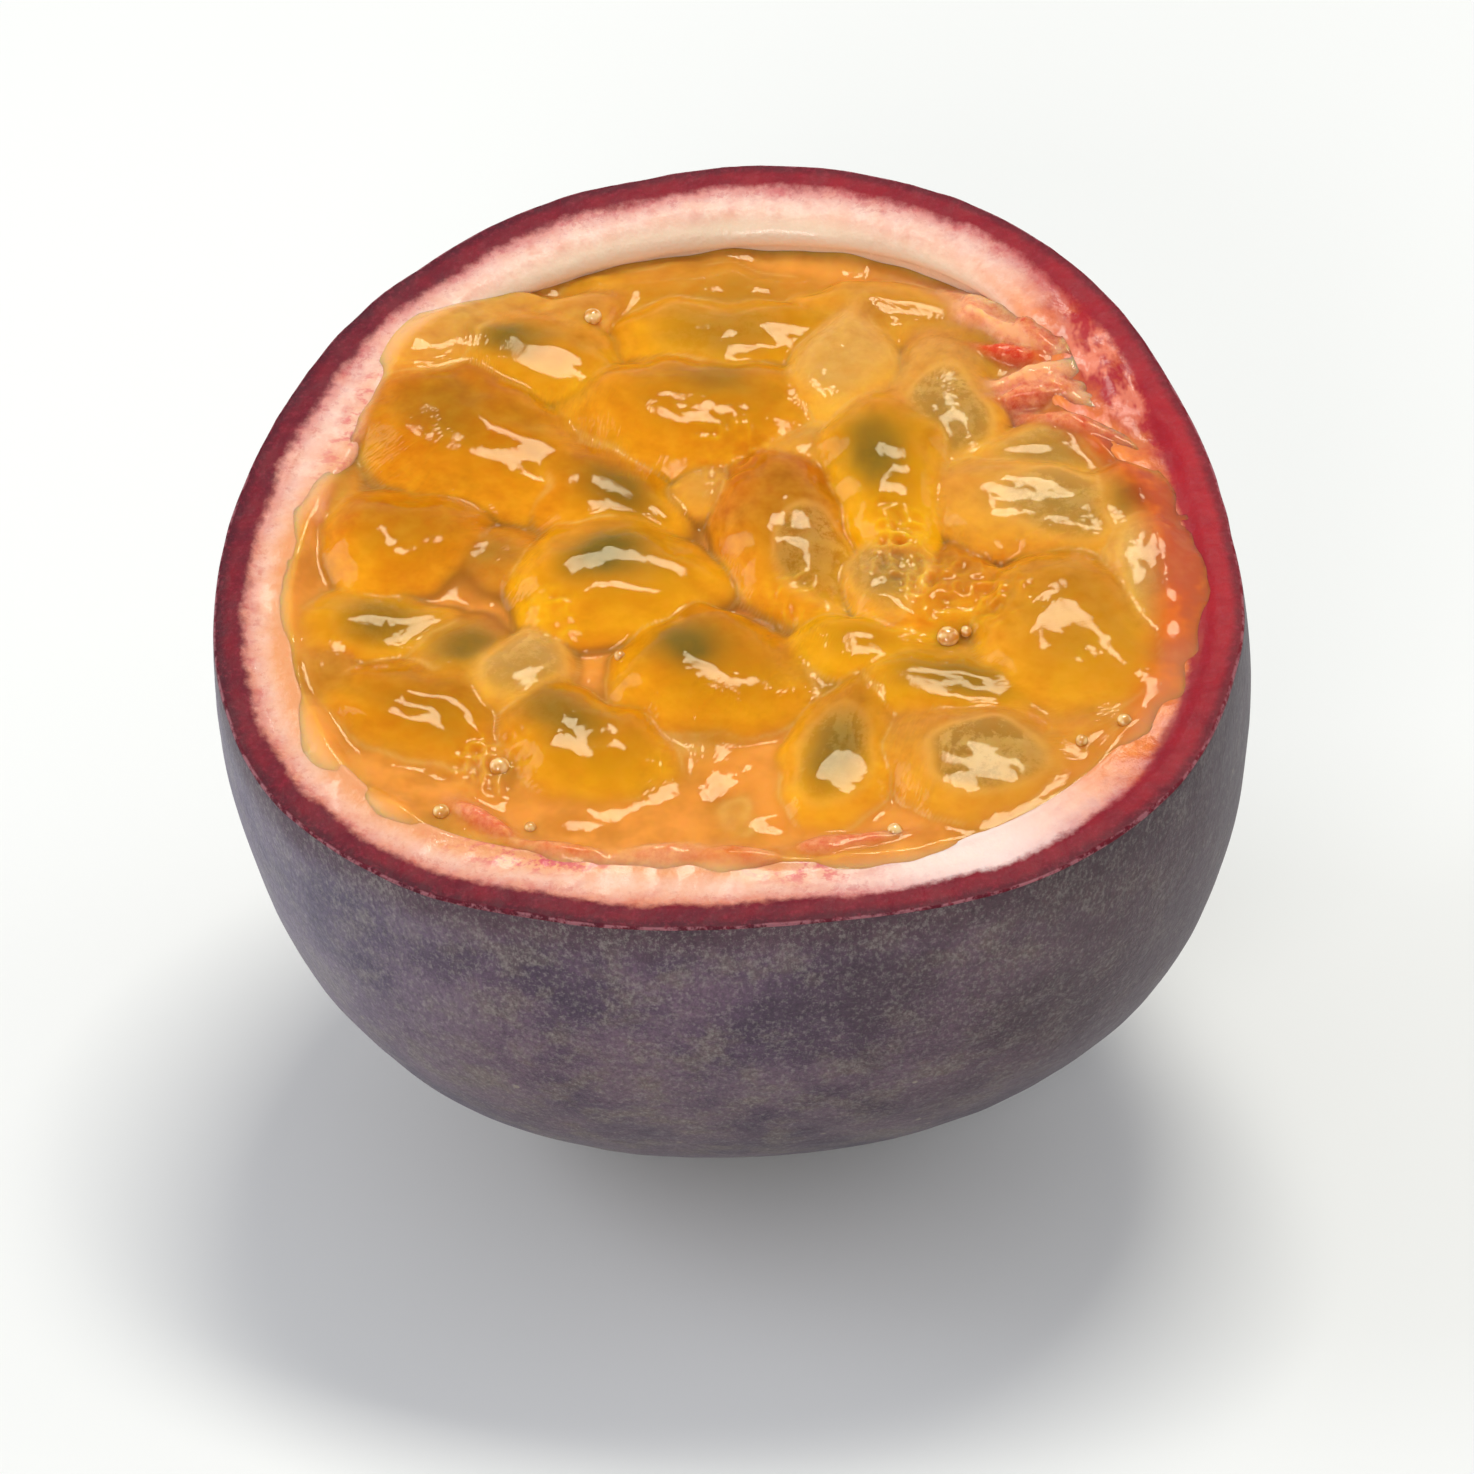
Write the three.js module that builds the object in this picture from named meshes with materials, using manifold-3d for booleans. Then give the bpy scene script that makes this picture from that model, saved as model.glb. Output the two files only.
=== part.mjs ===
// Half of a purple passion fruit, cut side up, resting on its rounded skin.
// Millimetres, +Z up. The origin is the middle of the small flat spot it rests on.
//
// The fruit's own frame has its origin in the middle of the cut, its X and Y in the cut plane and its Z
// along the fruit's long axis, out of the cut. The whole fruit leans a little towards -Y, as it lies.

import * as THREE from "three";
import { mergeVertices } from "three/addons/utils/BufferGeometryUtils.js";
import Module from "manifold-3d";

const wasm = await Module();
wasm.setup();

// Size of the whole fruit and where it is cut
const EQUATOR_RADIUS = 28.5;
const HALF_LENGTH = 33.2;
const EQUATOR_DEPTH = 5; // the widest place lies this far under the cut
const BODY_POWER = 2.08; // a little boxier than an ellipsoid, which has 2
const RIND_SIDE = 4.3;
const RIND_END = 4.5;
const GAP = 0.3; // between pieces that touch

// Three shallow lobes and a slight squareness of the outline, as shares of the radius
const LOBES = [
  { count: 3, share: 0.041, turn: 98 },
  { count: 4, share: 0.02, turn: 162 },
];

// The three ridges inside the rind that the pulp hangs on
const RIDGES = [
  { at: 30, height: 2.4, spread: 15 },
  { at: 157, height: 1.1, spread: 12 },
  { at: -102, height: 1.3, spread: 20 },
];
const RIDGE_REACH = 24; // the ridges fade out this far under the cut
const RIDGE_START = 14; // and this near the fruit's long axis

// How the half lies
const TILT = 15;
const LEAN = -2.7;
const FLAT_DEPTH = 0.5;

// Stem scar in its dimple, at the far end of the fruit
const DIMPLE_RADIUS = 4.4;
const DIMPLE_DEPTH = 1.3;
const SCAR_RADIUS = 1.9;
const SCAR_PROUD = 0.4; // how far it stands out of the dimple's floor
const SCAR_SUNK = 0.8; // how far it is rooted in the rind
const SCAR_EDGE = 0.84; // its ends, as a share of its radius

// Pulp
const JUICE_LEVEL = -1.9; // in the middle
const JUICE_SLANT = 2.6; // in degrees, higher towards -Y, where it runs together
const ARIL_SWELL = 1.3;
const ARIL_PLUMPNESS = 0.84; // height of a pulp sac over its width
const ARIL_TAPER = 0.16;
const FILLER_COUNT = 46;
const FILLER = { length: 8.5, width: 5.8, crown: -0.9, spread: 22.5, clearance: 3.9 };
const GOLDEN_ANGLE = 137.508;

// The pulp sacs that show, by hand: x, y, heading in degrees, length and width before they swell, height
// of the crown over the cut, and 1 where the seed shows through
const ARILS = [
  [-15.0, 17.0, 39, 8.5, 5.4, -0.3, 0],
  [-9.8, 15.0, -5, 9.0, 6.9, 0.5, 1],
  [-1.5, 20.2, 0, 13.0, 4.6, -2.5, 0],
  [10.6, 17.4, -16, 10.6, 5.0, -1.5, 0],
  [1.1, 17.0, -3, 12.8, 5.4, -1.1, 0],
  [-1.2, 11.2, -1, 14.0, 7.6, 0.8, 1],
  [6.3, 14.0, 79, 8.7, 4.6, -0.1, 0],
  [11.7, 10.1, -78, 10.7, 6.2, 0.3, 1],
  [-13.0, 8.8, -31, 15.0, 8.0, 0.9, 0],
  [-6.5, 4.6, -31, 8.4, 5.8, 0.3, 1],
  [-18.0, 2.2, 8, 8.8, 7.2, 0.6, 0],
  [-5.8, -1.2, -5, 10.9, 7.4, 0.9, 1],
  [2.9, 0.9, -74, 12.0, 6.2, 0.8, 1],
  [8.7, 5.3, -85, 11.0, 6.0, 1.2, 1],
  [8.2, -2.2, 83, 6.2, 4.2, 0.2, 0],
  [12.4, -2.3, 72, 7.5, 4.4, 0.1, 0],
  [17.3, 5.8, -9, 7.4, 4.2, -0.4, 0],
  [17.6, 1.0, -25, 12.0, 5.0, 0.6, 1],
  [21.3, -1.2, -31, 6.6, 5.5, 0.1, 0],
  [21.6, -5.2, -70, 6.9, 5.2, -0.2, 0],
  [17.2, -8.0, -47, 12.0, 9.0, 1.1, 0],
  [-19.4, -4.0, -9, 9.0, 5.0, 0.1, 1],
  [-14.8, -6.2, 63, 5.6, 4.6, -0.2, 0],
  [-11.2, -7.8, 54, 7.4, 5.6, 0.4, 1],
  [-16.6, -11.2, -42, 10.0, 7.0, 0.5, 0],
  [-7.6, -14.0, -33, 10.0, 6.8, 0.8, 0],
  [-0.6, -8.9, -18, 10.3, 8.2, 1.0, 1],
  [4.6, -13.8, 76, 11.6, 5.8, 0.5, 1],
  [11.9, -15.2, -5, 9.0, 7.4, 0.8, 1],
  [11.6, -10.4, -12, 9.4, 5.2, 0.2, 0],
  [6.6, -7.0, 1, 7.0, 4.0, 0.3, 0],
  [17.6, -13.6, 15, 6.7, 4.8, -0.3, 0],
  [-0.8, 5.9, 8, 5.0, 3.6, -0.6, 0],
  [4.8, 8.4, 44, 5.4, 4.4, -0.1, 0],
  [-12.4, -15.8, -36, 5.6, 4.0, -0.8, 0],
  [7.6, -19.6, 8, 5.0, 3.4, -1.2, 0],
];

// Torn flesh of the ridges that lies on the pulp: x, y, heading, length, width, height of the crown
const SHREDS = [
  [14.6, 16.8, -38, 7.5, 3.4, -0.5],
  [17.8, 14.2, -42, 8.0, 4.0, 0.3],
  [20.6, 11.2, -48, 8.0, 4.2, 0.7],
  [17.0, 10.6, 8, 8.5, 2.8, 0.4],
  [19.6, 8.2, -18, 7.5, 2.8, 0.5],
  [22.6, 6.6, -68, 8.0, 3.2, 0.5],
  [-19.8, 9.8, 62, 6.5, 2.2, -0.1],
];

// Seeds: flat, pointed ovals
const SEED = { length: 5.4, width: 3.6, thickness: 2.2, below: 1.0 };
const STALK_RADIUS = 0.5; // the fine passage by which a seed hangs on the wall
const STALK_LENGTH = 45;

// Facets
const AROUND = 72;
const OUTER_ROWS = 16;
const OUTER_CROWDING = 1.4; // for the dimple's sake
const INNER_ROWS = 11;
const ARIL_SIDES = [10, 7];
const SEED_SIDES = [8, 6];
const SCAR_SIDES = 10;
const STALK_SIDES = 5;

const radians = THREE.MathUtils.degToRad;

// Turn on the superellipse at which it passes the cut plane
function turnAtCut(halfLength) {
  return Math.asin((EQUATOR_DEPTH / halfLength) ** (BODY_POWER / 2));
}

// A point of a superellipse whose widest place lies EQUATOR_DEPTH under the cut
function bodyPoint(radius, halfLength, turn) {
  const across = Math.cos(turn) ** (2 / BODY_POWER);
  const along = Math.sign(Math.sin(turn)) * Math.abs(Math.sin(turn)) ** (2 / BODY_POWER);
  return new THREE.Vector2(radius * across, halfLength * along - EQUATOR_DEPTH);
}

// Points from the far end of the fruit, on its axis, up to the cut. Rows crowd towards the far end.
function bodyProfile(radius, halfLength, rows, crowding = 1) {
  const top = turnAtCut(halfLength);
  const points = [new THREE.Vector2(0, -EQUATOR_DEPTH - halfLength)];
  for (let row = 1; row <= rows; row++) {
    const share = (row / rows) ** crowding;
    points.push(bodyPoint(radius, halfLength, -Math.PI / 2 + share * (Math.PI / 2 + top)));
  }
  points[rows].y = 0;
  return points;
}

// How wide the fruit is at a height, as a share of its widest place
function fullness(z) {
  const along = Math.min(Math.abs((Math.min(z, 0) + EQUATOR_DEPTH) / HALF_LENGTH), 1);
  return (1 - along ** BODY_POWER) ** (1 / BODY_POWER);
}

function lobeFactor(angle, z) {
  let factor = 1;
  for (const { count, share, turn } of LOBES) {
    factor += share * fullness(z) * Math.cos(count * angle + radians(turn));
  }
  return factor;
}

function ridgeHeight(angle, z) {
  const fade = THREE.MathUtils.clamp(1 + z / RIDGE_REACH, 0, 1);
  let height = 0;
  for (const { at, height: peak, spread } of RIDGES) {
    const away = Math.atan2(Math.sin(angle - radians(at)), Math.cos(angle - radians(at)));
    height += peak * fade * Math.exp(-((away / radians(spread)) ** 2));
  }
  return height;
}

function dimpleDepth(distance) {
  const share = Math.min(distance / DIMPLE_RADIUS, 1);
  return (DIMPLE_DEPTH * (1 + Math.cos(Math.PI * share))) / 2;
}

// A turned profile, +Z up, with the fruit's lobes. ridged(point index) says which points have the ridges.
function turned(profile, ridged, dimpled = false) {
  const geometry = new THREE.LatheGeometry(profile, AROUND).rotateX(Math.PI / 2);
  const place = geometry.getAttribute("position");
  for (let i = 0; i < place.count; i++) {
    const [x, y, z] = [place.getX(i), place.getY(i), place.getZ(i)];
    const radius = Math.hypot(x, y);
    if (radius < 1e-6) {
      place.setXYZ(i, 0, 0, z + (dimpled && !ridged(i % profile.length) ? DIMPLE_DEPTH : 0));
      continue;
    }
    const angle = Math.atan2(y, x);
    let wanted = radius * lobeFactor(angle, z);
    let height = z;
    if (ridged(i % profile.length)) {
      wanted -= ridgeHeight(angle, z) * Math.min(radius / RIDGE_START, 1);
    } else if (dimpled && z < -EQUATOR_DEPTH) {
      height += dimpleDepth(wanted);
    }
    place.setXYZ(i, (x * wanted) / radius, (y * wanted) / radius, height);
  }
  return geometry;
}

// A closed three.js geometry as a solid for cutting and joining
function solidOf(geometry) {
  const bare = new THREE.BufferGeometry();
  bare.setAttribute("position", geometry.getAttribute("position"));
  if (geometry.index) bare.setIndex(geometry.index);
  const merged = mergeVertices(bare, 1e-4);
  const corners = [];
  for (let i = 0; i < merged.index.count; i += 3) {
    const [a, b, c] = [merged.index.getX(i), merged.index.getX(i + 1), merged.index.getX(i + 2)];
    if (a !== b && b !== c && c !== a) corners.push(a, b, c);
  }
  const build = (triangles) =>
    new wasm.Manifold(
      new wasm.Mesh({
        numProp: 3,
        vertProperties: new Float32Array(merged.getAttribute("position").array),
        triVerts: new Uint32Array(triangles),
      }),
    );
  const made = build(corners);
  return made.volume() < 0 ? build(corners.reverse()) : made;
}

// The largest body of a solid, back as a three.js geometry
function geometryOf(solid) {
  const bodies = solid.decompose().sort((a, b) => b.volume() - a.volume());
  const mesh = bodies[0].getMesh();
  const geometry = new THREE.BufferGeometry();
  geometry.setAttribute("position", new THREE.BufferAttribute(new Float32Array(mesh.vertProperties), 3));
  geometry.setIndex(new THREE.BufferAttribute(new Uint32Array(mesh.triVerts), 1));
  geometry.computeVertexNormals();
  return geometry;
}

// Skin and pith, which grow as one bowl
function rindSolid() {
  const outer = bodyProfile(EQUATOR_RADIUS, HALF_LENGTH, OUTER_ROWS, OUTER_CROWDING);
  const inner = bodyProfile(EQUATOR_RADIUS - RIND_SIDE, HALF_LENGTH - RIND_END, INNER_ROWS).reverse();
  return solidOf(turned([...outer, ...inner], (point) => point >= outer.length, true));
}

// The room inside the rind, GAP clear of it, and as far again over the cut as the widest place lies under it
function cavitySolid() {
  const wall = bodyProfile(EQUATOR_RADIUS - RIND_SIDE - GAP, HALF_LENGTH - RIND_END - GAP, INNER_ROWS);
  const rim = wall[INNER_ROWS].x;
  const profile = [...wall, new THREE.Vector2(rim, EQUATOR_DEPTH), new THREE.Vector2(0, EQUATOR_DEPTH)];
  return solidOf(turned(profile, () => true));
}

// Everything under a plane, which place moves from the cut
function everythingUnder(place) {
  const side = 4 * EQUATOR_RADIUS;
  const box = new THREE.BoxGeometry(side, side, side).translate(0, 0, -side / 2);
  return solidOf(box.applyMatrix4(place));
}

// A sphere drawn out into a sac or seed: x along it, tapered towards +x
function ovalGeometry([around, rows], length, width, thickness, taper) {
  const geometry = new THREE.SphereGeometry(1, around, rows).rotateX(Math.PI / 2);
  const place = geometry.getAttribute("position");
  for (let i = 0; i < place.count; i++) {
    const slim = 1 - taper * place.getX(i);
    place.setXYZ(
      i,
      (place.getX(i) * length) / 2,
      (place.getY(i) * width * slim) / 2,
      (place.getZ(i) * thickness * slim) / 2,
    );
  }
  return geometry;
}

// A sac or a shred with its crown at a height over the cut
function lumpSolid([x, y, heading, length, width, crown], swell) {
  const thickness = width * swell * ARIL_PLUMPNESS;
  const geometry = ovalGeometry(ARIL_SIDES, length * swell, width * swell, thickness, ARIL_TAPER);
  return solidOf(geometry.rotateZ(radians(heading)).translate(x, y, crown - thickness / 2));
}

// Lower sacs in the gaps between those that show, on a golden-angle spiral
function fillerArils() {
  const placed = [];
  for (let i = 0; i < FILLER_COUNT; i++) {
    const reach = FILLER.spread * Math.sqrt((i + 0.5) / FILLER_COUNT);
    const angle = radians(i * GOLDEN_ANGLE);
    const [x, y] = [reach * Math.cos(angle), reach * Math.sin(angle)];
    const free = ARILS.every((aril) => Math.hypot(aril[0] - x, aril[1] - y) > FILLER.clearance);
    if (free) placed.push([x, y, i * GOLDEN_ANGLE, FILLER.length, FILLER.width, FILLER.crown, 0]);
  }
  return placed;
}

// The middle of the seed in a sac
function seedPlace([x, y, , , , crown]) {
  return [x, y, crown - SEED.below - SEED.thickness / 2];
}

// A seed, grown all over by a margin, in place in its sac
function seedGeometry(aril, margin) {
  const grown = [SEED.length, SEED.width, SEED.thickness].map((size) => size + 2 * margin);
  const geometry = ovalGeometry(SEED_SIDES, ...grown, 0);
  return geometry.rotateZ(radians(aril[2])).translate(...seedPlace(aril));
}

// The passage down from the middle of a seed's pocket
function stalkSolid(aril) {
  const geometry = new THREE.CylinderGeometry(STALK_RADIUS, STALK_RADIUS, STALK_LENGTH, STALK_SIDES);
  geometry.rotateX(Math.PI / 2).translate(0, 0, -STALK_LENGTH / 2);
  return solidOf(geometry.translate(...seedPlace(aril)));
}

// Pulp sacs fused with the juice and shreds between them, hollow where the seeds that show lie
function pulpSolid(seeded) {
  const surface = new THREE.Matrix4().makeRotationX(-radians(JUICE_SLANT)).setPosition(0, 0, JUICE_LEVEL);
  const cavity = cavitySolid();
  const juice = cavity.intersect(everythingUnder(surface));
  const sacs = [...ARILS, ...fillerArils()].map((aril) => lumpSolid(aril, ARIL_SWELL));
  const shreds = SHREDS.map((shred) => lumpSolid(shred, 1));
  const fused = wasm.Manifold.union([juice, ...sacs, ...shreds]);
  const pockets = seeded.map((aril) => solidOf(seedGeometry(aril, GAP)));
  const hollows = wasm.Manifold.union([...pockets, ...seeded.map(stalkSolid)]);
  return fused.intersect(cavity).subtract(hollows);
}

// The woody scar where the stem let go, rooted in the dimple's floor, grown all over by a margin
function scarGeometry(margin) {
  const radius = SCAR_RADIUS + margin;
  const floor = -EQUATOR_DEPTH - HALF_LENGTH + DIMPLE_DEPTH;
  const [outside, inside] = [floor - SCAR_PROUD - margin, floor + SCAR_SUNK + margin];
  const profile = [
    new THREE.Vector2(0, outside + SCAR_PROUD / 2),
    new THREE.Vector2(radius * SCAR_EDGE, outside),
    new THREE.Vector2(radius, outside + SCAR_PROUD),
    new THREE.Vector2(radius * SCAR_EDGE, inside),
    new THREE.Vector2(0, inside),
  ];
  return new THREE.LatheGeometry(profile, SCAR_SIDES).rotateX(Math.PI / 2);
}

// Lays the group down: turned, with the lowest point of a solid FLAT_DEPTH under the floor at the origin
function layDown(group, solid) {
  group.rotation.set(radians(TILT), radians(LEAN), 0);
  group.updateMatrix();
  const lowest = new THREE.Vector3(0, 0, Infinity);
  const mesh = solid.getMesh();
  for (let i = 0; i < mesh.numVert; i++) {
    const point = new THREE.Vector3().fromArray(mesh.vertProperties, i * mesh.numProp);
    point.applyMatrix4(group.matrix);
    if (point.z < lowest.z) lowest.copy(point);
  }
  group.position.set(-lowest.x, -lowest.y, -lowest.z - FLAT_DEPTH);
  group.updateMatrix();
}

function meshOf(name, geometry, color, roughness) {
  const material = new THREE.MeshStandardMaterial({ color, roughness, metalness: 0 });
  const mesh = new THREE.Mesh(geometry, material);
  mesh.name = name;
  return mesh;
}

function passionFruitHalf() {
  const fruit = new THREE.Group();
  const rind = rindSolid();
  layDown(fruit, rind);
  const seeded = ARILS.filter((aril) => aril[6] === 1);
  const floor = everythingUnder(fruit.matrix.clone().invert());
  const cuts = wasm.Manifold.union([floor, solidOf(scarGeometry(GAP))]);
  fruit.add(meshOf("rind", geometryOf(rind.subtract(cuts)), 0x5a4a5e, 0.45));
  fruit.add(meshOf("pulp", geometryOf(pulpSolid(seeded)), 0xe39a17, 0.12));
  fruit.add(meshOf("stem_scar", geometryOf(solidOf(scarGeometry(0))), 0xb08a4a, 0.8));
  seeded.forEach((aril, i) => {
    const name = `seed_${String(i + 1).padStart(2, "0")}`;
    fruit.add(meshOf(name, geometryOf(solidOf(seedGeometry(aril, 0))), 0x2a2a18, 0.4));
  });
  const part = new THREE.Group();
  part.add(fruit);
  return part;
}

export default passionFruitHalf();
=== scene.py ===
"""Half of a purple passion fruit, cut side up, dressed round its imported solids.

Lengths are millimetres in the fruit's own frame, whose origin is the middle of the cut and whose Z points
out of the cut along the fruit's long axis. place() takes points from there to the row's frame, in metres.
"""

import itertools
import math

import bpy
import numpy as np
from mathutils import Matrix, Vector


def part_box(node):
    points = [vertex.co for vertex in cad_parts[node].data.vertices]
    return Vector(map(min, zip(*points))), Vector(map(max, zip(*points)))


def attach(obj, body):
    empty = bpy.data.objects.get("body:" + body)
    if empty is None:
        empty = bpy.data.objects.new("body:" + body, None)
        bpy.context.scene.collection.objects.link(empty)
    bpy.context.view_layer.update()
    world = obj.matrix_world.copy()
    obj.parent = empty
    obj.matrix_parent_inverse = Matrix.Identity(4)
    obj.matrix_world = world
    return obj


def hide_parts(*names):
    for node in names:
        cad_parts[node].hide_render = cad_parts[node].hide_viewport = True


bl_info = {
    "name": "Passion Fruit Half",
    "version": (1, 0, 0),
    "blender": (4, 5, 0),
    "location": "View3D > Sidebar > Passion Fruit",
    "description": "Makes the rind, pulp, seeds and stem scar of a passion fruit cut in half",
    "category": "Add Mesh",
}

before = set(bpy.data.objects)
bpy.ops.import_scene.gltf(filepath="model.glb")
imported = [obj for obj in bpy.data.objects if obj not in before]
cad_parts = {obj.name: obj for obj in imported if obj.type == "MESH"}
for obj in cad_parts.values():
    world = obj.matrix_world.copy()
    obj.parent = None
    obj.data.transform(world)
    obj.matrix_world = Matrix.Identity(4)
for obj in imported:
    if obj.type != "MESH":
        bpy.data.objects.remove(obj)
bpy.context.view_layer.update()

MM = 0.001
BODY_POWER = 2.08  # a little boxier than an ellipsoid, which has 2
LATTICE = 32  # random values along each side of the noise's cube, after which it repeats
MIXED_COLOUR = 2  # place of the colour among a Mix node's outputs

# Three shallow lobes and a slight squareness of the outline: count, share of the radius, turn in degrees
LOBES = [(3, 0.041, 98), (4, 0.02, 162)]

# Hills round the fruit's axis, here and below: at this angle, height, spread, with angles in degrees. These
# are the three ridges inside the rind that the pulp hangs on
RIDGES = [(30, 2.4, 15), (157, 1.1, 12), (-102, 1.3, 20)]
RIDGE_REACH = 24  # how far under the cut they fade out
RIDGE_START = 14  # radius of the wall under which they flatten

# Stem scar in its dimple
DIMPLE_RADIUS = 4.4
DIMPLE_DEPTH = 1.3
SCAR_RADIUS = 1.9
SCAR_PROUD = 0.4
SCAR_AROUND = 96

# Rind: its shape round the cut
RIND_AROUND = 512
EDGE_ROUNDING = 0.45  # least rounding of the pith's inner edge
ROUNDED = [(95, 1.5, 45)]  # where it is rounder
PITH_DROP = 0.16  # how much lower the pith stands than the crimson layer
BURRED = [(-92, 1.0, 48), (150, 0.5, 40)]  # burrs on the lip
SHREDDED = [(28, 1.0, 20)]  # deep ragged relief

# Rind: its colours round the cut
BRIGHT_LEAST = 0.12
BRIGHT = [(5, 0.75, 48), (80, 0.25, 30)]  # scarlet rather than crimson
PEACH = [(-98, 0.95, 20), (-142, 0.70, 28), (176, 0.55, 24), (-26, 0.4, 12), (-57, -0.9, 14)]  # juicy pith
STAINED = [(-8, 1.25, 29), (30, 0.85, 17)]  # red through and through
TORN = [(31, 1.0, 15)]  # tatters of the ridge
BRUISED = [(-115, 1.0, 10), (-80, 0.8, 9), (152, 0.7, 13)]  # red threads at the pith's inner edge

# Juice, with its brim at the wall
JUICE_LEVEL = -1.45  # in the middle
JUICE_SLANT = 2.6  # how steeply it rises towards the viewer, in degrees
LOW_SIDE = 97  # angle round which the brim is lower, in degrees
BRIM_HEIGHT = 0.04
BRIM_DROP = 2.1
BRIM_REACH = 1.5  # how far from the wall its rise has fallen to a third
HIGH_BRIM = [(131, 0.7, 12), (38, 0.8, 14)]  # where it stays high after all

# Pulp
PULP_GRID = 281
JOIN_SHARPNESS = 3.6  # how tightly sacs, juice and shreds meet
FROTH_HEIGHT = 0.34
WALL_LEVEL = -1.0  # height at which its outline follows the inner wall
PULP_OVERLAP = 0.9  # how far its edge runs out over the rind, so that no gap shows
EDGE_DROP = 0.42  # how far it sinks on the way out
EDGE_FLOOR = -1.6  # height where its edge ends, inside the rind
HIDDEN_TONE = 0.3  # how yellow it is below

# Where the juice laps over the pith, beyond PULP_OVERLAP
LAPS = [
    (178, 0.9, 34), (-108, 0.8, 22), (-14, 2.4, 27), (35, 1.4, 18), (128, 1.2, 14),
    (-62, 0.6, 7), (-83, -0.5, 6), (-97, 0.7, 6), (-122, -0.6, 6), (-148, 0.6, 7),
    (-171, -0.5, 6), (164, 0.5, 7),
]
PULP_STAINED = [(-8, 1.0, 30), (30, 0.9, 22)]  # red juice from the rind

# Sacs: how many times their sizes below they swell to, thickness over width, share by which they narrow
# towards one end, and height of the folds
SAC_SWELL = 1.36
SAC_PLUMPNESS = 0.84
SAC_TAPER = 0.20
SAC_FOLDS = 0.08

# Plain sacs that fill the gaps between the others, on a spiral
FILLER_COUNT = 46
FILLER_SIZE = (8.5, 5.8, -0.6)  # length, width, height of the crown
FILLER_SPREAD = 22.5
FILLER_CLEARANCE = 3.9
GOLDEN_ANGLE = 137.508

# Seeds and bubbles, with points around and rows
SEED_SIZE = (5.4, 3.6, 2.2)
SEED_GRID = (48, 36)
BUBBLE_GRID = (28, 16)

# Colours laid over those of the looks: of the skin and the crimson layer
# Bluish waxy bloom, which on the upper left also stands for a painted sheen
BLOOM_AND_SHEEN_BLUE = (0.140, 0.135, 0.205)
# Maroon band just under the cut, partly the skin's own colour and partly painted shade
MAROON_AND_SHADE_BAND = (0.050, 0.014, 0.022)
CORK = (0.36, 0.31, 0.22)
RIM_DARK = (0.030, 0.005, 0.014)
RED_GRAIN = (0.36, 0.03, 0.06)
LIP_PINK = (0.42, 0.17, 0.20)
# Of the pith, the torn flesh in it and the wall
PITH_FIBRE = (0.88, 0.68, 0.58)
PITH_BLUSH = (0.58, 0.17, 0.17)
PITH_FLECK = (0.50, 0.08, 0.10)
PITH_WHITE = (0.92, 0.78, 0.74)
PITH_SOAKED = (0.78, 0.30, 0.095)
RED_THREAD = (0.66, 0.10, 0.12)
WET_ORANGE = (0.80, 0.22, 0.03)
TATTER = (0.78, 0.22, 0.13)
PALE_TATTER = (0.90, 0.62, 0.54)
WALL_CREAM = (0.84, 0.68, 0.50)
WALL_JUICE = (0.82, 0.44, 0.14)
WALL_STAIN = (0.70, 0.20, 0.04)
# Of the pulp and its bubbles
KERNEL_MILK = (0.64, 0.42, 0.16)
THIN_JUICE = (0.93, 0.46, 0.19)
STAIN_RED = (0.44, 0.034, 0.012)
STAIN_ORANGE = (0.70, 0.14, 0.012)
FILM_AMBER = (0.62, 0.26, 0.03)
FILM_PALE = (0.86, 0.56, 0.24)
# Of the seeds and the stem scar
SEED_PIT = (0.020, 0.014, 0.006)
SEED_RIM = (0.110, 0.080, 0.030)
SEED_TAN = (0.20, 0.14, 0.05)
SCAR_WOOD = (0.30, 0.19, 0.085)
SCAR_PALE = (0.50, 0.36, 0.19)
SCAR_CRACK = (0.10, 0.055, 0.025)

# The soft lights: name, place in metres, width, height, power in watts, colour
LIGHTS = [
    ("softbox_key", (0.05, 0.12, 0.55), 0.22, 0.13, 1.7, (1.0, 0.98, 0.87)),
    ("softbox_left", (-0.6, 0.05, 0.30), 0.25, 0.5, 1.3, (0.94, 0.97, 1.0)),
    ("softbox_right", (0.6, 0.15, 0.28), 0.2, 0.45, 0.4, (0.97, 0.98, 1.0)),
    ("softbox_front", (-0.15, -0.7, 0.35), 0.22, 0.22, 1.7, (1.0, 0.98, 0.94)),
]
LIT_SPOT = (0.0, 0.0, 0.03)  # where they point
SEEN_SPOT = (0.0, 0.001, 0.0225)  # where the camera points
FLOOR_REACH = 3.0  # from its middle to its sides, in metres
SKY_COLOUR = (0.96, 0.98, 1.0, 1.0)
SKY_STRENGTH = 0.45

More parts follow.
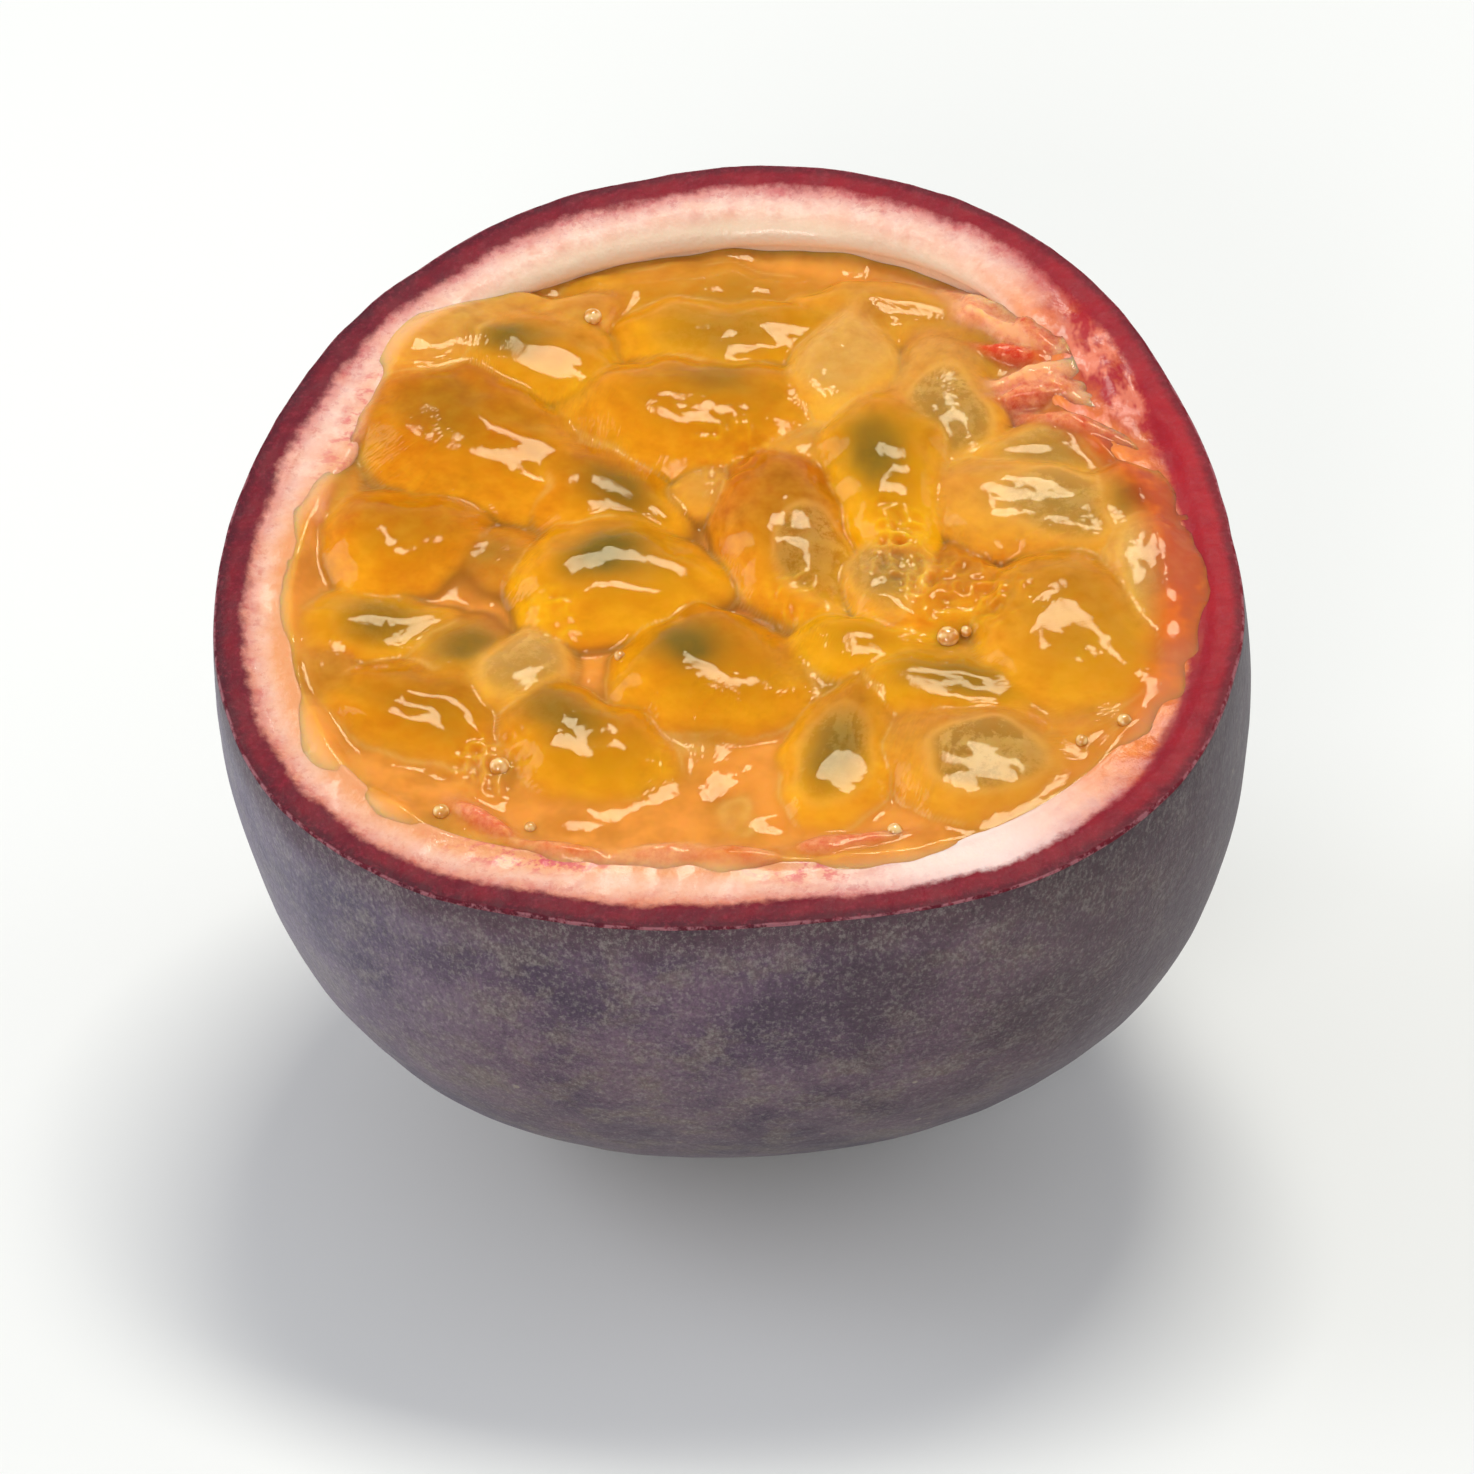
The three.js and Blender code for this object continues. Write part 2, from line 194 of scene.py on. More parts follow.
# The sacs that show: x, y, heading in degrees, length, width, height of the crown over the cut, then from
# 0 to 1 how yellow, how milky, how dark its seed shows and how glassy it is, and the seed's place along
# and across the sac
SACS = [
    (-15.9, 16.8, 39, 8.8, 6.2, 0.7, 0.00, 0.60, 0.00, 0.0, 0.0, 0.0),
    (-10.9, 15.6, -8, 9.6, 6.9, 0.5, 0.60, 0.05, 0.85, 0.1, -2.1, 0.5),
    (-1.2, 20.9, 0, 14.6, 5.0, -1.5, 0.60, 0.10, 0.15, 0.1, 2.0, 0.0),
    (9.6, 18.4, -13, 11.4, 5.4, -0.9, 0.60, 0.25, 0.00, 0.0, 0.0, 0.0),
    (1.1, 17.0, -3, 12.4, 5.4, -0.5, 0.80, 0.00, 0.25, 0.2, -1.6, 0.0),
    (-1.2, 11.2, -1, 14.0, 7.6, 0.8, 0.50, 0.00, 0.45, 0.0, 1.0, 2.2),
    (6.3, 14.2, 79, 8.7, 4.4, 0.1, 0.45, 0.70, 0.00, 0.3, 0.0, 0.0),
    (11.7, 10.4, -78, 10.2, 6.4, 0.5, 0.50, 0.45, 0.25, 1.0, 0.4, 0.2),
    (-13.0, 8.8, -31, 15.0, 8.0, 0.9, 0.35, 0.00, 0.25, 0.0, -3.4, 0.0),
    (-6.5, 4.6, -31, 8.4, 5.8, 0.3, 0.45, 0.00, 0.70, 0.0, 0.6, 0.4),
    (-18.0, 2.2, 8, 8.8, 7.2, 0.6, 0.35, 0.00, 0.00, 0.0, 0.0, 0.0),
    (-5.8, -1.2, -5, 10.9, 7.4, 0.9, 0.75, 0.00, 0.90, 0.1, -0.6, 0.8),
    (2.9, 0.9, -74, 12.0, 6.2, 0.8, 0.30, 0.05, 0.15, 0.9, 2.4, 1.1),
    (8.7, 5.3, -85, 11.0, 6.0, 1.2, 0.95, 0.00, 0.75, 0.0, -1.2, -0.8),
    (8.9, -1.2, 83, 6.2, 4.2, 0.4, 0.30, 0.45, 0.20, 0.9, 0.0, 0.0),
    (12.4, -2.3, 72, 7.5, 4.4, 0.1, 0.35, 0.10, 0.00, 0.0, 0.0, 0.0),
    (17.5, 6.8, -9, 7.8, 4.2, 0.0, 0.50, 0.45, 0.30, 0.5, 0.6, 0.0),
    (17.8, 2.4, -25, 12.4, 5.2, 0.7, 0.50, 0.45, 0.30, 0.9, 0.4, 0.0),
    (22.9, 1.6, -38, 7.4, 5.8, 0.5, 0.60, 0.15, 0.80, 0.1, 0.0, 0.0),
    (24.0, -2.8, -68, 8.4, 5.6, 0.6, 0.40, 0.90, 0.15, 0.8, 0.0, 0.0),
    (19.2, -7.2, -47, 12.8, 9.4, 1.1, 0.75, 0.10, 0.00, 0.0, 0.0, 0.0),
    (-19.4, -4.0, -9, 9.0, 5.0, 0.1, 0.85, 0.00, 0.60, 0.2, 0.8, 0.2),
    (-14.8, -6.2, 63, 5.6, 4.6, -0.2, 0.60, 0.15, 0.75, 0.1, 0.0, 0.0),
    (-11.2, -7.8, 54, 7.4, 5.6, 0.4, 0.50, 0.65, 0.20, 0.8, 0.0, 0.0),
    (-16.6, -11.2, -42, 10.0, 7.0, 0.5, 0.60, 0.00, 0.10, 0.0, 0.0, 0.0),
    (-7.6, -14.0, -33, 10.0, 6.8, 0.8, 0.72, 0.00, 0.60, 0.1, -2.4, 0.6),
    (-0.6, -8.9, -18, 10.3, 8.2, 1.0, 0.60, 0.00, 0.90, 0.0, -2.2, 0.8),
    (6.0, -13.6, 76, 11.6, 5.8, 0.6, 0.75, 0.05, 0.75, 0.5, -1.6, 0.0),
    (14.0, -15.7, 12, 10.4, 8.4, 0.8, 0.50, 0.25, 0.25, 1.0, -0.2, -0.2),
    (12.4, -10.0, -12, 9.4, 5.2, 0.3, 0.90, 0.05, 0.55, 0.0, 0.0, 0.6),
    (7.4, -6.6, 1, 7.2, 4.0, 0.3, 1.00, 0.00, 0.00, 0.0, 0.0, 0.0),
    (20.0, -13.2, 40, 6.0, 4.2, -0.2, 0.20, 0.25, 0.00, 0.0, 0.0, 0.0),
    (-0.8, 5.9, 8, 5.0, 3.6, -0.6, 0.30, 0.50, 0.00, 0.0, 0.0, 0.0),
    (4.8, 8.4, 44, 5.4, 4.4, -0.1, 0.50, 0.40, 0.00, 0.0, 0.0, 0.0),
    (-12.4, -15.8, -36, 5.6, 4.0, -0.8, 0.20, 0.40, 0.00, 0.0, 0.0, 0.0),
    (7.6, -19.6, 8, 5.0, 3.4, -1.2, 0.15, 0.35, 0.00, 0.0, 0.0, 0.0),
    (-8.0, 19.4, 20, 5.2, 3.6, -0.7, 0.00, 0.40, 0.00, 0.0, 0.0, 0.0),
    (-12.2, 19.6, 34, 4.2, 2.6, -0.4, 0.05, 0.50, 0.00, 0.0, 0.0, 0.0),
    (-21.2, -8.2, -60, 6.0, 3.2, -0.1, 0.30, 0.20, 0.00, 0.0, 0.0, 0.0),
    (-21.8, 6.0, 70, 5.4, 3.0, -0.2, 0.10, 0.35, 0.00, 0.0, 0.0, 0.0),
]
# The sacs whose seeds are solids of their own, in the solids' order
SEEDED = [1, 5, 7, 9, 11, 12, 13, 17, 21, 23, 26, 27, 28]

# Torn shreds of the ridges on the pulp: x, y, heading, length, width, crown, and from 0 to 1 how red
SHREDS = [
    (15.4, 17.4, -42, 6.0, 1.5, -0.5, 0.15),
    (16.2, 15.6, -40, 7.0, 1.2, 0.0, 0.00),
    (18.0, 14.8, -44, 6.5, 1.3, 0.3, 0.60),
    (19.9, 14.0, -46, 6.0, 1.5, 0.4, 0.90),
    (16.4, 14.2, -16, 5.4, 1.0, -0.1, 0.80),
    (18.6, 12.8, 12, 8.4, 1.3, 0.5, 0.00),
    (17.8, 11.4, 8, 7.4, 1.1, 0.2, 0.50),
    (21.0, 12.0, -52, 7.0, 1.5, 0.5, 0.55),
    (20.8, 9.9, -34, 7.4, 1.3, 0.4, 0.10),
    (22.9, 10.4, -62, 7.0, 1.6, 0.5, 0.80),
    (20.4, 8.2, -26, 6.6, 1.1, 0.2, 0.50),
    (23.2, 7.6, -68, 6.0, 1.4, 0.4, 0.30),
    (24.8, 5.4, -78, 6.0, 1.8, 0.3, 0.95),
    (25.2, 0.4, -84, 6.0, 1.6, 0.1, 1.00),
    (-20.6, 9.6, 64, 6.0, 1.8, -0.1, 0.45),
    (-22.6, 5.0, 75, 4.0, 1.4, 0.1, 0.05),
    (6.4, -20.9, 8, 6.6, 1.4, 0.2, 0.55),
    (0.6, -21.8, -4, 5.0, 1.2, 0.1, 0.50),
    (-9.2, -20.9, -16, 5.0, 1.3, 0.2, 0.45),
    (-13.0, -18.6, -38, 3.4, 1.1, 0.1, 0.55),
    (-3.6, -21.6, 6, 6.0, 1.6, 0.1, 0.20),
]

# Places where many small beads of gel lie together: x, y, radius
FROTH = [
    (12.6, -3.2, 3.0),
    (9.2, -1.6, 2.2),
    (3.4, -3.4, 1.8),
    (0.4, 7.4, 2.2),
    (8.9, 1.0, 1.8),
    (-12.6, -14.6, 2.2),
    (-9.6, -4.6, 1.8),
    (15.0, -4.2, 1.8),
]

# Air bubbles in the juice: x, y, radius
BUBBLES = [
    (11.9, -6.2, 0.62),
    (12.9, -5.7, 0.34),
    (-12.3, -14.7, 0.55),
    (-15.4, -17.8, 0.45),
    (8.9, -20.2, 0.42),
    (-7.6, 18.5, 0.50),
    (21.3, -13.2, 0.40),
    (-5.9, -7.0, 0.30),
    (19.0, -14.4, 0.34),
    (-10.6, -19.0, 0.32),
]


class FruitShape(bpy.types.PropertyGroup):
    """Sizes that every piece of the fruit is worked out from."""

    equator_radius: bpy.props.FloatProperty(
        name="Equator radius", description="Radius of the whole fruit at its widest place",
        default=28.5 * MM, unit="LENGTH",
    )
    half_length: bpy.props.FloatProperty(
        name="Half length", description="Half the length of the whole fruit",
        default=33.2 * MM, unit="LENGTH",
    )
    equator_depth: bpy.props.FloatProperty(
        name="Equator depth", description="How far under the cut the widest place lies",
        default=5 * MM, unit="LENGTH",
    )
    rind_side: bpy.props.FloatProperty(
        name="Rind at the side", description="Thickness of the rind at the widest place",
        default=4.3 * MM, unit="LENGTH",
    )
    rind_end: bpy.props.FloatProperty(
        name="Rind at the end", description="Thickness of the rind at the fruit's end",
        default=4.5 * MM, unit="LENGTH",
    )
    tilt: bpy.props.FloatProperty(
        name="Tilt", description="How far the fruit leans towards the viewer",
        default=math.radians(15), unit="ROTATION",
    )
    lean: bpy.props.FloatProperty(
        name="Lean", description="How far the fruit leans to the left",
        default=math.radians(-2.7), unit="ROTATION",
    )


class RindLook(bpy.types.PropertyGroup):
    """Colours and widths of the skin and of the cut through the rind."""

    crimson_width: bpy.props.FloatProperty(
        name="Crimson width", description="Width of the crimson layer under the skin",
        default=1.7 * MM, unit="LENGTH",
    )
    skin: bpy.props.FloatVectorProperty(
        name="Skin", description="Greyish purple of the skin",
        default=(0.136, 0.074, 0.116), subtype="COLOR",
    )
    skin_dark: bpy.props.FloatVectorProperty(
        name="Dark skin", description="Darker patches of the skin",
        default=(0.050, 0.024, 0.052), subtype="COLOR",
    )
    skin_green: bpy.props.FloatVectorProperty(
        name="Green mottle", description="Greenish grey mottles low on the fruit",
        default=(0.124, 0.088, 0.060), subtype="COLOR",
    )
    # Reddish brown of the right side, which is darker there partly as painted shade
    skin_brown_and_shade: bpy.props.FloatVectorProperty(
        name="Brown side", description="Darker reddish brown of the side that lay in the sun",
        default=(0.068, 0.024, 0.030), subtype="COLOR",
    )
    speckle: bpy.props.FloatVectorProperty(
        name="Speckle", description="Fine corky speckles of the skin",
        default=(0.37, 0.34, 0.30), subtype="COLOR",
    )
    crimson: bpy.props.FloatVectorProperty(
        name="Crimson", description="The layer under the skin where it is dark",
        default=(0.120, 0.006, 0.018), subtype="COLOR",
    )
    scarlet: bpy.props.FloatVectorProperty(
        name="Scarlet", description="The layer under the skin where it is bright",
        default=(0.40, 0.012, 0.022), subtype="COLOR",
    )
    pith: bpy.props.FloatVectorProperty(
        name="Pith", description="Pinkish white of the pith",
        default=(0.80, 0.50, 0.42), subtype="COLOR",
    )
    wall: bpy.props.FloatVectorProperty(
        name="Inner wall", description="Cream of the smooth wall behind the pulp",
        default=(0.86, 0.66, 0.50), subtype="COLOR",
    )


class PulpLook(bpy.types.PropertyGroup):
    """Colours of the sacs, their juice and the shreds of flesh between them."""

    orange: bpy.props.FloatVectorProperty(
        name="Orange", description="The deepest orange of the sacs",
        default=(0.67, 0.165, 0.001), subtype="COLOR",
    )
    yellow: bpy.props.FloatVectorProperty(
        name="Yellow", description="The brightest yellow of the sacs",
        default=(0.75, 0.345, 0.002), subtype="COLOR",
    )
    milk: bpy.props.FloatVectorProperty(
        name="Milky", description="Pale, milky parts of the sacs",
        default=(0.76, 0.42, 0.10), subtype="COLOR",
    )
    gold: bpy.props.FloatVectorProperty(
        name="Gold", description="Golden brown streaks inside the sacs",
        default=(0.40, 0.115, 0.002), subtype="COLOR",
    )
    ochre: bpy.props.FloatVectorProperty(
        name="Ochre", description="The clear middles of the sacs, over their dark insides",
        default=(0.54, 0.225, 0.003), subtype="COLOR",
    )
    juice: bpy.props.FloatVectorProperty(
        name="Juice", description="Juice between the sacs",
        default=(0.90, 0.35, 0.062), subtype="COLOR",
    )
    # Painted light: the colour laid where light gathers in the lower edges of the sacs
    painted_glow: bpy.props.FloatVectorProperty(
        name="Glow", description="Where light gathers in the lower edges of the sacs",
        default=(0.92, 0.47, 0.012), subtype="COLOR",
    )
    # Painted shade for the deep gaps between the sacs
    crevice_shade: bpy.props.FloatVectorProperty(
        name="Crevice", description="Deep brown gaps between the sacs",
        default=(0.24, 0.065, 0.004), subtype="COLOR",
    )
    seed_blur: bpy.props.FloatVectorProperty(
        name="Seed in gel", description="A dark seed seen through its sac",
        default=(0.150, 0.105, 0.012), subtype="COLOR",
    )
    kernel: bpy.props.FloatVectorProperty(
        name="Kernel", description="A seed seen through clear gel, its pits",
        default=(0.25, 0.130, 0.018), subtype="COLOR",
    )
    kernel_pale: bpy.props.FloatVectorProperty(
        name="Pale kernel", description="A seed seen through clear gel, its rims",
        default=(0.60, 0.385, 0.115), subtype="COLOR",
    )
    shred_pale: bpy.props.FloatVectorProperty(
        name="Pale shred", description="Torn flesh, pale",
        default=(0.84, 0.40, 0.21), subtype="COLOR",
    )
    shred_red: bpy.props.FloatVectorProperty(
        name="Red shred", description="Torn flesh, red",
        default=(0.56, 0.045, 0.025), subtype="COLOR",
    )


class StageLook(bpy.types.PropertyGroup):
    """Camera, floor and lights."""

    elevation: bpy.props.FloatProperty(
        name="Elevation", description="How far the camera looks down",
        default=math.radians(34.2), unit="ROTATION",
    )
    distance: bpy.props.FloatProperty(
        name="Distance", description="From the camera to the fruit", default=0.6, unit="LENGTH",
    )
    frame_width: bpy.props.FloatProperty(
        name="Frame width", description="Width that the camera sees at the fruit",
        default=82 * MM, unit="LENGTH",
    )
    floor: bpy.props.FloatVectorProperty(
        name="Floor", description="Pale floor", default=(0.86, 0.87, 0.885), subtype="COLOR",
    )


def sizes():
    """The sizes in FruitShape, in millimetres: radius, half length, equator depth, rind side, rind end."""
    shape = bpy.context.scene.fruit_shape
    names = ("equator_radius", "half_length", "equator_depth", "rind_side", "rind_end")
    return [getattr(shape, name) / MM for name in names]


def turned_rows(points):
    """Points of the fruit's frame turned as the half lies: by lean about Y, then by tilt about X."""
    shape = bpy.context.scene.fruit_shape
    tilt, lean = shape.tilt, shape.lean
    about_y = np.array([
        [math.cos(lean), 0, math.sin(lean)],
        [0, 1, 0],
        [-math.sin(lean), 0, math.cos(lean)],
    ])
    about_x = np.array([
        [1, 0, 0],
        [0, math.cos(tilt), -math.sin(tilt)],
        [0, math.sin(tilt), math.cos(tilt)],
    ])
    return points @ (about_x @ about_y).T


def fruit_shift():
    """Where the middle of the cut lies in the row's frame, in millimetres: the plain body, turned, is moved
    until its sides and its top meet the sides and the top of the rind's solid."""
    body = turned_rows(outer_body(np.linspace(0, 1, 90), np.linspace(0, 2 * math.pi, 361)))
    low, high = body.min(axis=(0, 1)), body.max(axis=(0, 1))
    solid_low, solid_high = [np.array(corner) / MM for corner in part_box("rind")]
    shift = (solid_low + solid_high - low - high) / 2
    shift[2] = solid_high[2] - high[2]
    return shift


def place(points):
    """Takes points of the fruit's frame to the row's frame, in metres, none of them under the floor."""
    placed = turned_rows(points.reshape(-1, 3)) + fruit_shift()
    placed[:, 2] = np.maximum(placed[:, 2], 0)
    return placed * MM


def bell(value, width):
    """A hill of height 1 round 0: e to the minus square of value over width."""
    return np.exp(-((value / width) ** 2))


def bump(angle, at, spread):
    """A bell round the angle at, in degrees, by the shorter way round."""
    return bell((np.degrees(angle) - at + 180) % 360 - 180, spread)


def hills(angle, table):
    """The sum of a table's hills: each one's height times its bump."""
    return sum(height * bump(angle, at, spread) for at, height, spread in table)


def smooth_step(value, low, high):
    """0 under low, 1 over high and 3t² - 2t³ between."""
    share = np.clip((value - low) / (high - low), 0, 1)
    return share * share * (3 - 2 * share)


def noise(points, cell, seed):
    """Smooth noise from -1 to 1: random values on a cubic lattice of that cell, blended by 3t² - 2t³ along
    each axis."""
    lattice = np.random.default_rng(seed).uniform(-1, 1, (LATTICE, LATTICE, LATTICE))
    spots = points / cell
    base = np.floor(spots).astype(int)
    share = smooth_step(spots - base, 0, 1)
    total = np.zeros(points.shape[:-1])
    for corner in itertools.product((0, 1), repeat=3):
        weight = np.prod(np.where(corner, share, 1 - share), axis=-1)
        at = (base + corner) % LATTICE
        total += weight * lattice[at[..., 0], at[..., 1], at[..., 2]]
    return total


def body_point(radius, half_length, equator_depth, turn):
    """Superellipse: cos(turn) across and sin(turn) along, each to the power 2 / BODY_POWER, with its widest
    place equator_depth under the cut."""
    across = radius * np.abs(np.cos(turn)) ** (2 / BODY_POWER)
    along = half_length * np.sign(np.sin(turn)) * np.abs(np.sin(turn)) ** (2 / BODY_POWER)
    return across, along - equator_depth


def turns_to_cut(half_length, equator_depth, share):
    """Turns on the superellipse from the far end, at share 0, to the cut, at share 1."""
    top = math.asin((equator_depth / half_length) ** (BODY_POWER / 2))
    return -math.pi / 2 + share * (math.pi / 2 + top)


def lobe_factor(angle, z):
    """1 plus each lobe's share times its cosine, fading with the fruit's width at z."""
    _, half_length, equator_depth, _, _ = sizes()
    along = np.clip(np.abs(np.minimum(z, 0) + equator_depth) / half_length, 0, 1)
    fullness = (1 - along**BODY_POWER) ** (1 / BODY_POWER)
    waves = [share * np.cos(count * angle + math.radians(turn)) for count, share, turn in LOBES]
    return 1 + fullness * sum(waves)


def on_circle(radius, angle, z):
    """Points at a radius, an angle and a height, which broadcast together."""
    radius, angle, z = np.broadcast_arrays(radius, angle, z)
    return np.stack([radius * np.cos(angle), radius * np.sin(angle), z], axis=-1)


def outer_body(share, angle):
    """The plain outside of the fruit: the superellipse with its lobes, and the dimple pressed into its end
    by half a cosine wave."""
    radius, half_length, equator_depth, _, _ = sizes()
    turn = turns_to_cut(half_length, equator_depth, share)[:, None]
    across, z = body_point(radius, half_length, equator_depth, turn)
    across = across * lobe_factor(angle[None, :], z)
    inside = np.clip(across / DIMPLE_RADIUS, 0, 1)
    z = z + np.where(z < -equator_depth, DIMPLE_DEPTH * (1 + np.cos(math.pi * inside)) / 2, 0)
    return on_circle(across, angle[None, :], z)


def inner_radius(angle, z):
    """Radius of the inner wall at a height: the inner superellipse with its lobes, less the ridges, which
    fade down to RIDGE_REACH under the cut and towards the fruit's axis."""
    radius, half_length, equator_depth, side, end = sizes()
    along = np.clip(np.abs(z + equator_depth) / (half_length - end), 0, 1)
    across = (radius - side) * (1 - along**BODY_POWER) ** (1 / BODY_POWER)
    ridges = hills(angle, RIDGES) * np.clip(1 + z / RIDGE_REACH, 0, 1)
    return np.maximum(across * lobe_factor(angle, z) - ridges * np.clip(across / RIDGE_START, 0, 1), 0)


def closed_faces(rows, around):
    """Faces of a grid that is closed around, with one pole before its first row and one after its last:
    quads between rows, then triangles to the two poles, whose vertices come after the grid's."""
    row, column = np.meshgrid(np.arange(rows - 1), np.arange(around), indexing="ij")
    first, following = row * around + column, row * around + (column + 1) % around
    quads = np.stack([first, following, following + around, first + around], axis=-1).reshape(-1, 4)
    spot = np.arange(around)
    ahead = (spot + 1) % around
    first_pole, last = rows * around, (rows - 1) * around
    first_fan = np.stack([np.full(around, first_pole), ahead, spot], axis=-1)
    last_fan = np.stack([np.full(around, first_pole + 1), last + spot, last + ahead], axis=-1)
    return quads, np.concatenate([first_fan, last_fan])


def mesh_piece(name, points, quads, triangles, attributes):
    """A smooth mesh object from points in metres, faces, and named values at the points."""
    mesh = bpy.data.meshes.new(name)
    mesh.vertices.add(len(points))
    mesh.vertices.foreach_set("co", points.astype(np.float32).ravel())
    corners = np.concatenate([quads.ravel(), triangles.ravel()])
    starts = np.concatenate([
        np.arange(len(quads)) * 4,
        len(quads) * 4 + np.arange(len(triangles)) * 3,
    ])
    mesh.loops.add(len(corners))
    mesh.loops.foreach_set("vertex_index", corners)
    mesh.polygons.add(len(starts))
    mesh.polygons.foreach_set("loop_start", starts)
    mesh.update(calc_edges=True)
    for title, values in attributes.items():
        layer = mesh.attributes.new(title, "FLOAT", "POINT")
        layer.data.foreach_set("value", np.asarray(values, dtype=np.float32).ravel())
    mesh.shade_smooth()
    piece = bpy.data.objects.new(name, mesh)
    bpy.context.scene.collection.objects.link(piece)
    return piece


class Socket:
    """A node's output. Python arithmetic on it adds Math nodes."""

    def __init__(self, material, output):
        self.material = material
        self.output = output

    def maths(self, operation, *values):
        return self.material.node("ShaderNodeMath", {"operation": operation}, dict(enumerate(values)))

    def __add__(self, other):
        return self.maths("ADD", self, other)

    def __radd__(self, other):
        return self.maths("ADD", other, self)

    def __sub__(self, other):
        return self.maths("SUBTRACT", self, other)

    def __rsub__(self, other):
        return self.maths("SUBTRACT", other, self)

    def __mul__(self, other):
        return self.maths("MULTIPLY", self, other)

    def __rmul__(self, other):
        return self.maths("MULTIPLY", other, self)

    def step(self, low, high):
        """0 under low, 1 over high and smooth between."""
        values = {"Value": self, "From Min": low, "From Max": high}
        return self.material.node("ShaderNodeMapRange", {"interpolation_type": "SMOOTHSTEP"}, values)

    def clipped(self):
        return self.material.node("ShaderNodeClamp", {}, {"Value": self})


class Surface:
    """A material and the making of its nodes."""

    def __init__(self, name, **constants):
        self.material = bpy.data.materials.new(name)
        self.material.use_nodes = True
        self.tree = self.material.node_tree
        self.shader = self.tree.nodes["Principled BSDF"]
        for title, value in constants.items():
            self.shader.inputs[socket_title(title)].default_value = value
        metres = self.node("ShaderNodeTexCoord", {}, {}, "Object")
        scaling = {"Vector": metres, "Scale": 1 / MM}
        self.spot = self.node("ShaderNodeVectorMath", {"operation": "SCALE"}, scaling)

    def node(self, kind, settings, values, output=0):
        """Any node: its settings, then values or links for its sockets by name, identifier or place."""
        made = self.tree.nodes.new(kind)
        for title, value in settings.items():
            setattr(made, title, value)
        for title, value in values.items():
            if isinstance(title, str):
                socket = next(i for i in made.inputs if title in (i.identifier, i.name))
            else:
                socket = made.inputs[title]
            if isinstance(value, Socket):
                self.tree.links.new(value.output, socket)
            else:
                socket.default_value = value
        return Socket(self, made.outputs[output])

    def attribute(self, title):
        """A value that the mesh carries at its points."""
        return self.node("ShaderNodeAttribute", {"attribute_name": title}, {}, "Fac")

    def coordinate(self, axis):
        """One coordinate of the place on the object, in millimetres."""
        return self.node("ShaderNodeSeparateXYZ", {}, {0: self.spot}, axis)

    def noise(self, cell, detail=2, roughness=0.5, stretch=(1, 1, 1)):
        """Noise from about 0 to 1, with that cell in millimetres, finer by stretch along each axis."""
        scaling = {0: self.spot, 1: [share / cell for share in stretch]}
        scaled = self.node("ShaderNodeVectorMath", {"operation": "MULTIPLY"}, scaling)
        values = {"Vector": scaled, "Scale": 1.0, "Detail": detail, "Roughness": roughness}
        return self.node("ShaderNodeTexNoise", {}, values, "Fac")

    def cells(self, cell):
        """Distance to the nearest of scattered points that lie about that many millimetres apart."""
        return self.node("ShaderNodeTexVoronoi", {}, {"Vector": self.spot, "Scale": 1 / cell}, "Distance")

    def mix(self, factor, first, second):
        """The first colour where factor is 0, the second where it is 1."""
        values = {"Factor_Float": factor, "A_Color": paint(first), "B_Color": paint(second)}
        return self.node("ShaderNodeMix", {"data_type": "RGBA", "clamp_factor": True}, values, MIXED_COLOUR)

    def layered(self, colour, *layers):
        """The colour with each layer, a factor and a colour, laid over it in turn."""
        for factor, over in layers:
            colour = self.mix(factor, colour, over)
        return colour

    def shaded(self, colour, factor):
        """The colour times a grey factor."""
        grey = self.node("ShaderNodeCombineColor", {}, {0: factor, 1: factor, 2: factor})
        values = {"Factor_Float": 1.0, "A_Color": colour, "B_Color": grey}
        settings = {"data_type": "RGBA", "blend_type": "MULTIPLY"}
        return self.node("ShaderNodeMix", settings, values, MIXED_COLOUR)

    def finish(self, relief=None, relief_height=0.0, **values):
        """Links values to the shader's sockets, and relief, in millimetres, to its normal."""
        for title, value in values.items():
            self.tree.links.new(value.output, self.shader.inputs[socket_title(title)])
        if relief is not None:
            heights = {"Height": relief, "Distance": relief_height * MM, "Strength": 1.0}
            normal = self.node("ShaderNodeBump", {}, heights)
            self.tree.links.new(normal.output, self.shader.inputs["Normal"])
        return self.material


def socket_title(title):
    """A shader socket's title from a name in small letters: coat_ior gives Coat IOR."""
    return title.replace("_", " ").title().replace("Ior", "IOR")


def paint(colour):
    """A colour for a node's socket: a socket as it is, three numbers with an alpha of 1."""
    return colour if isinstance(colour, Socket) else (*colour, 1.0)


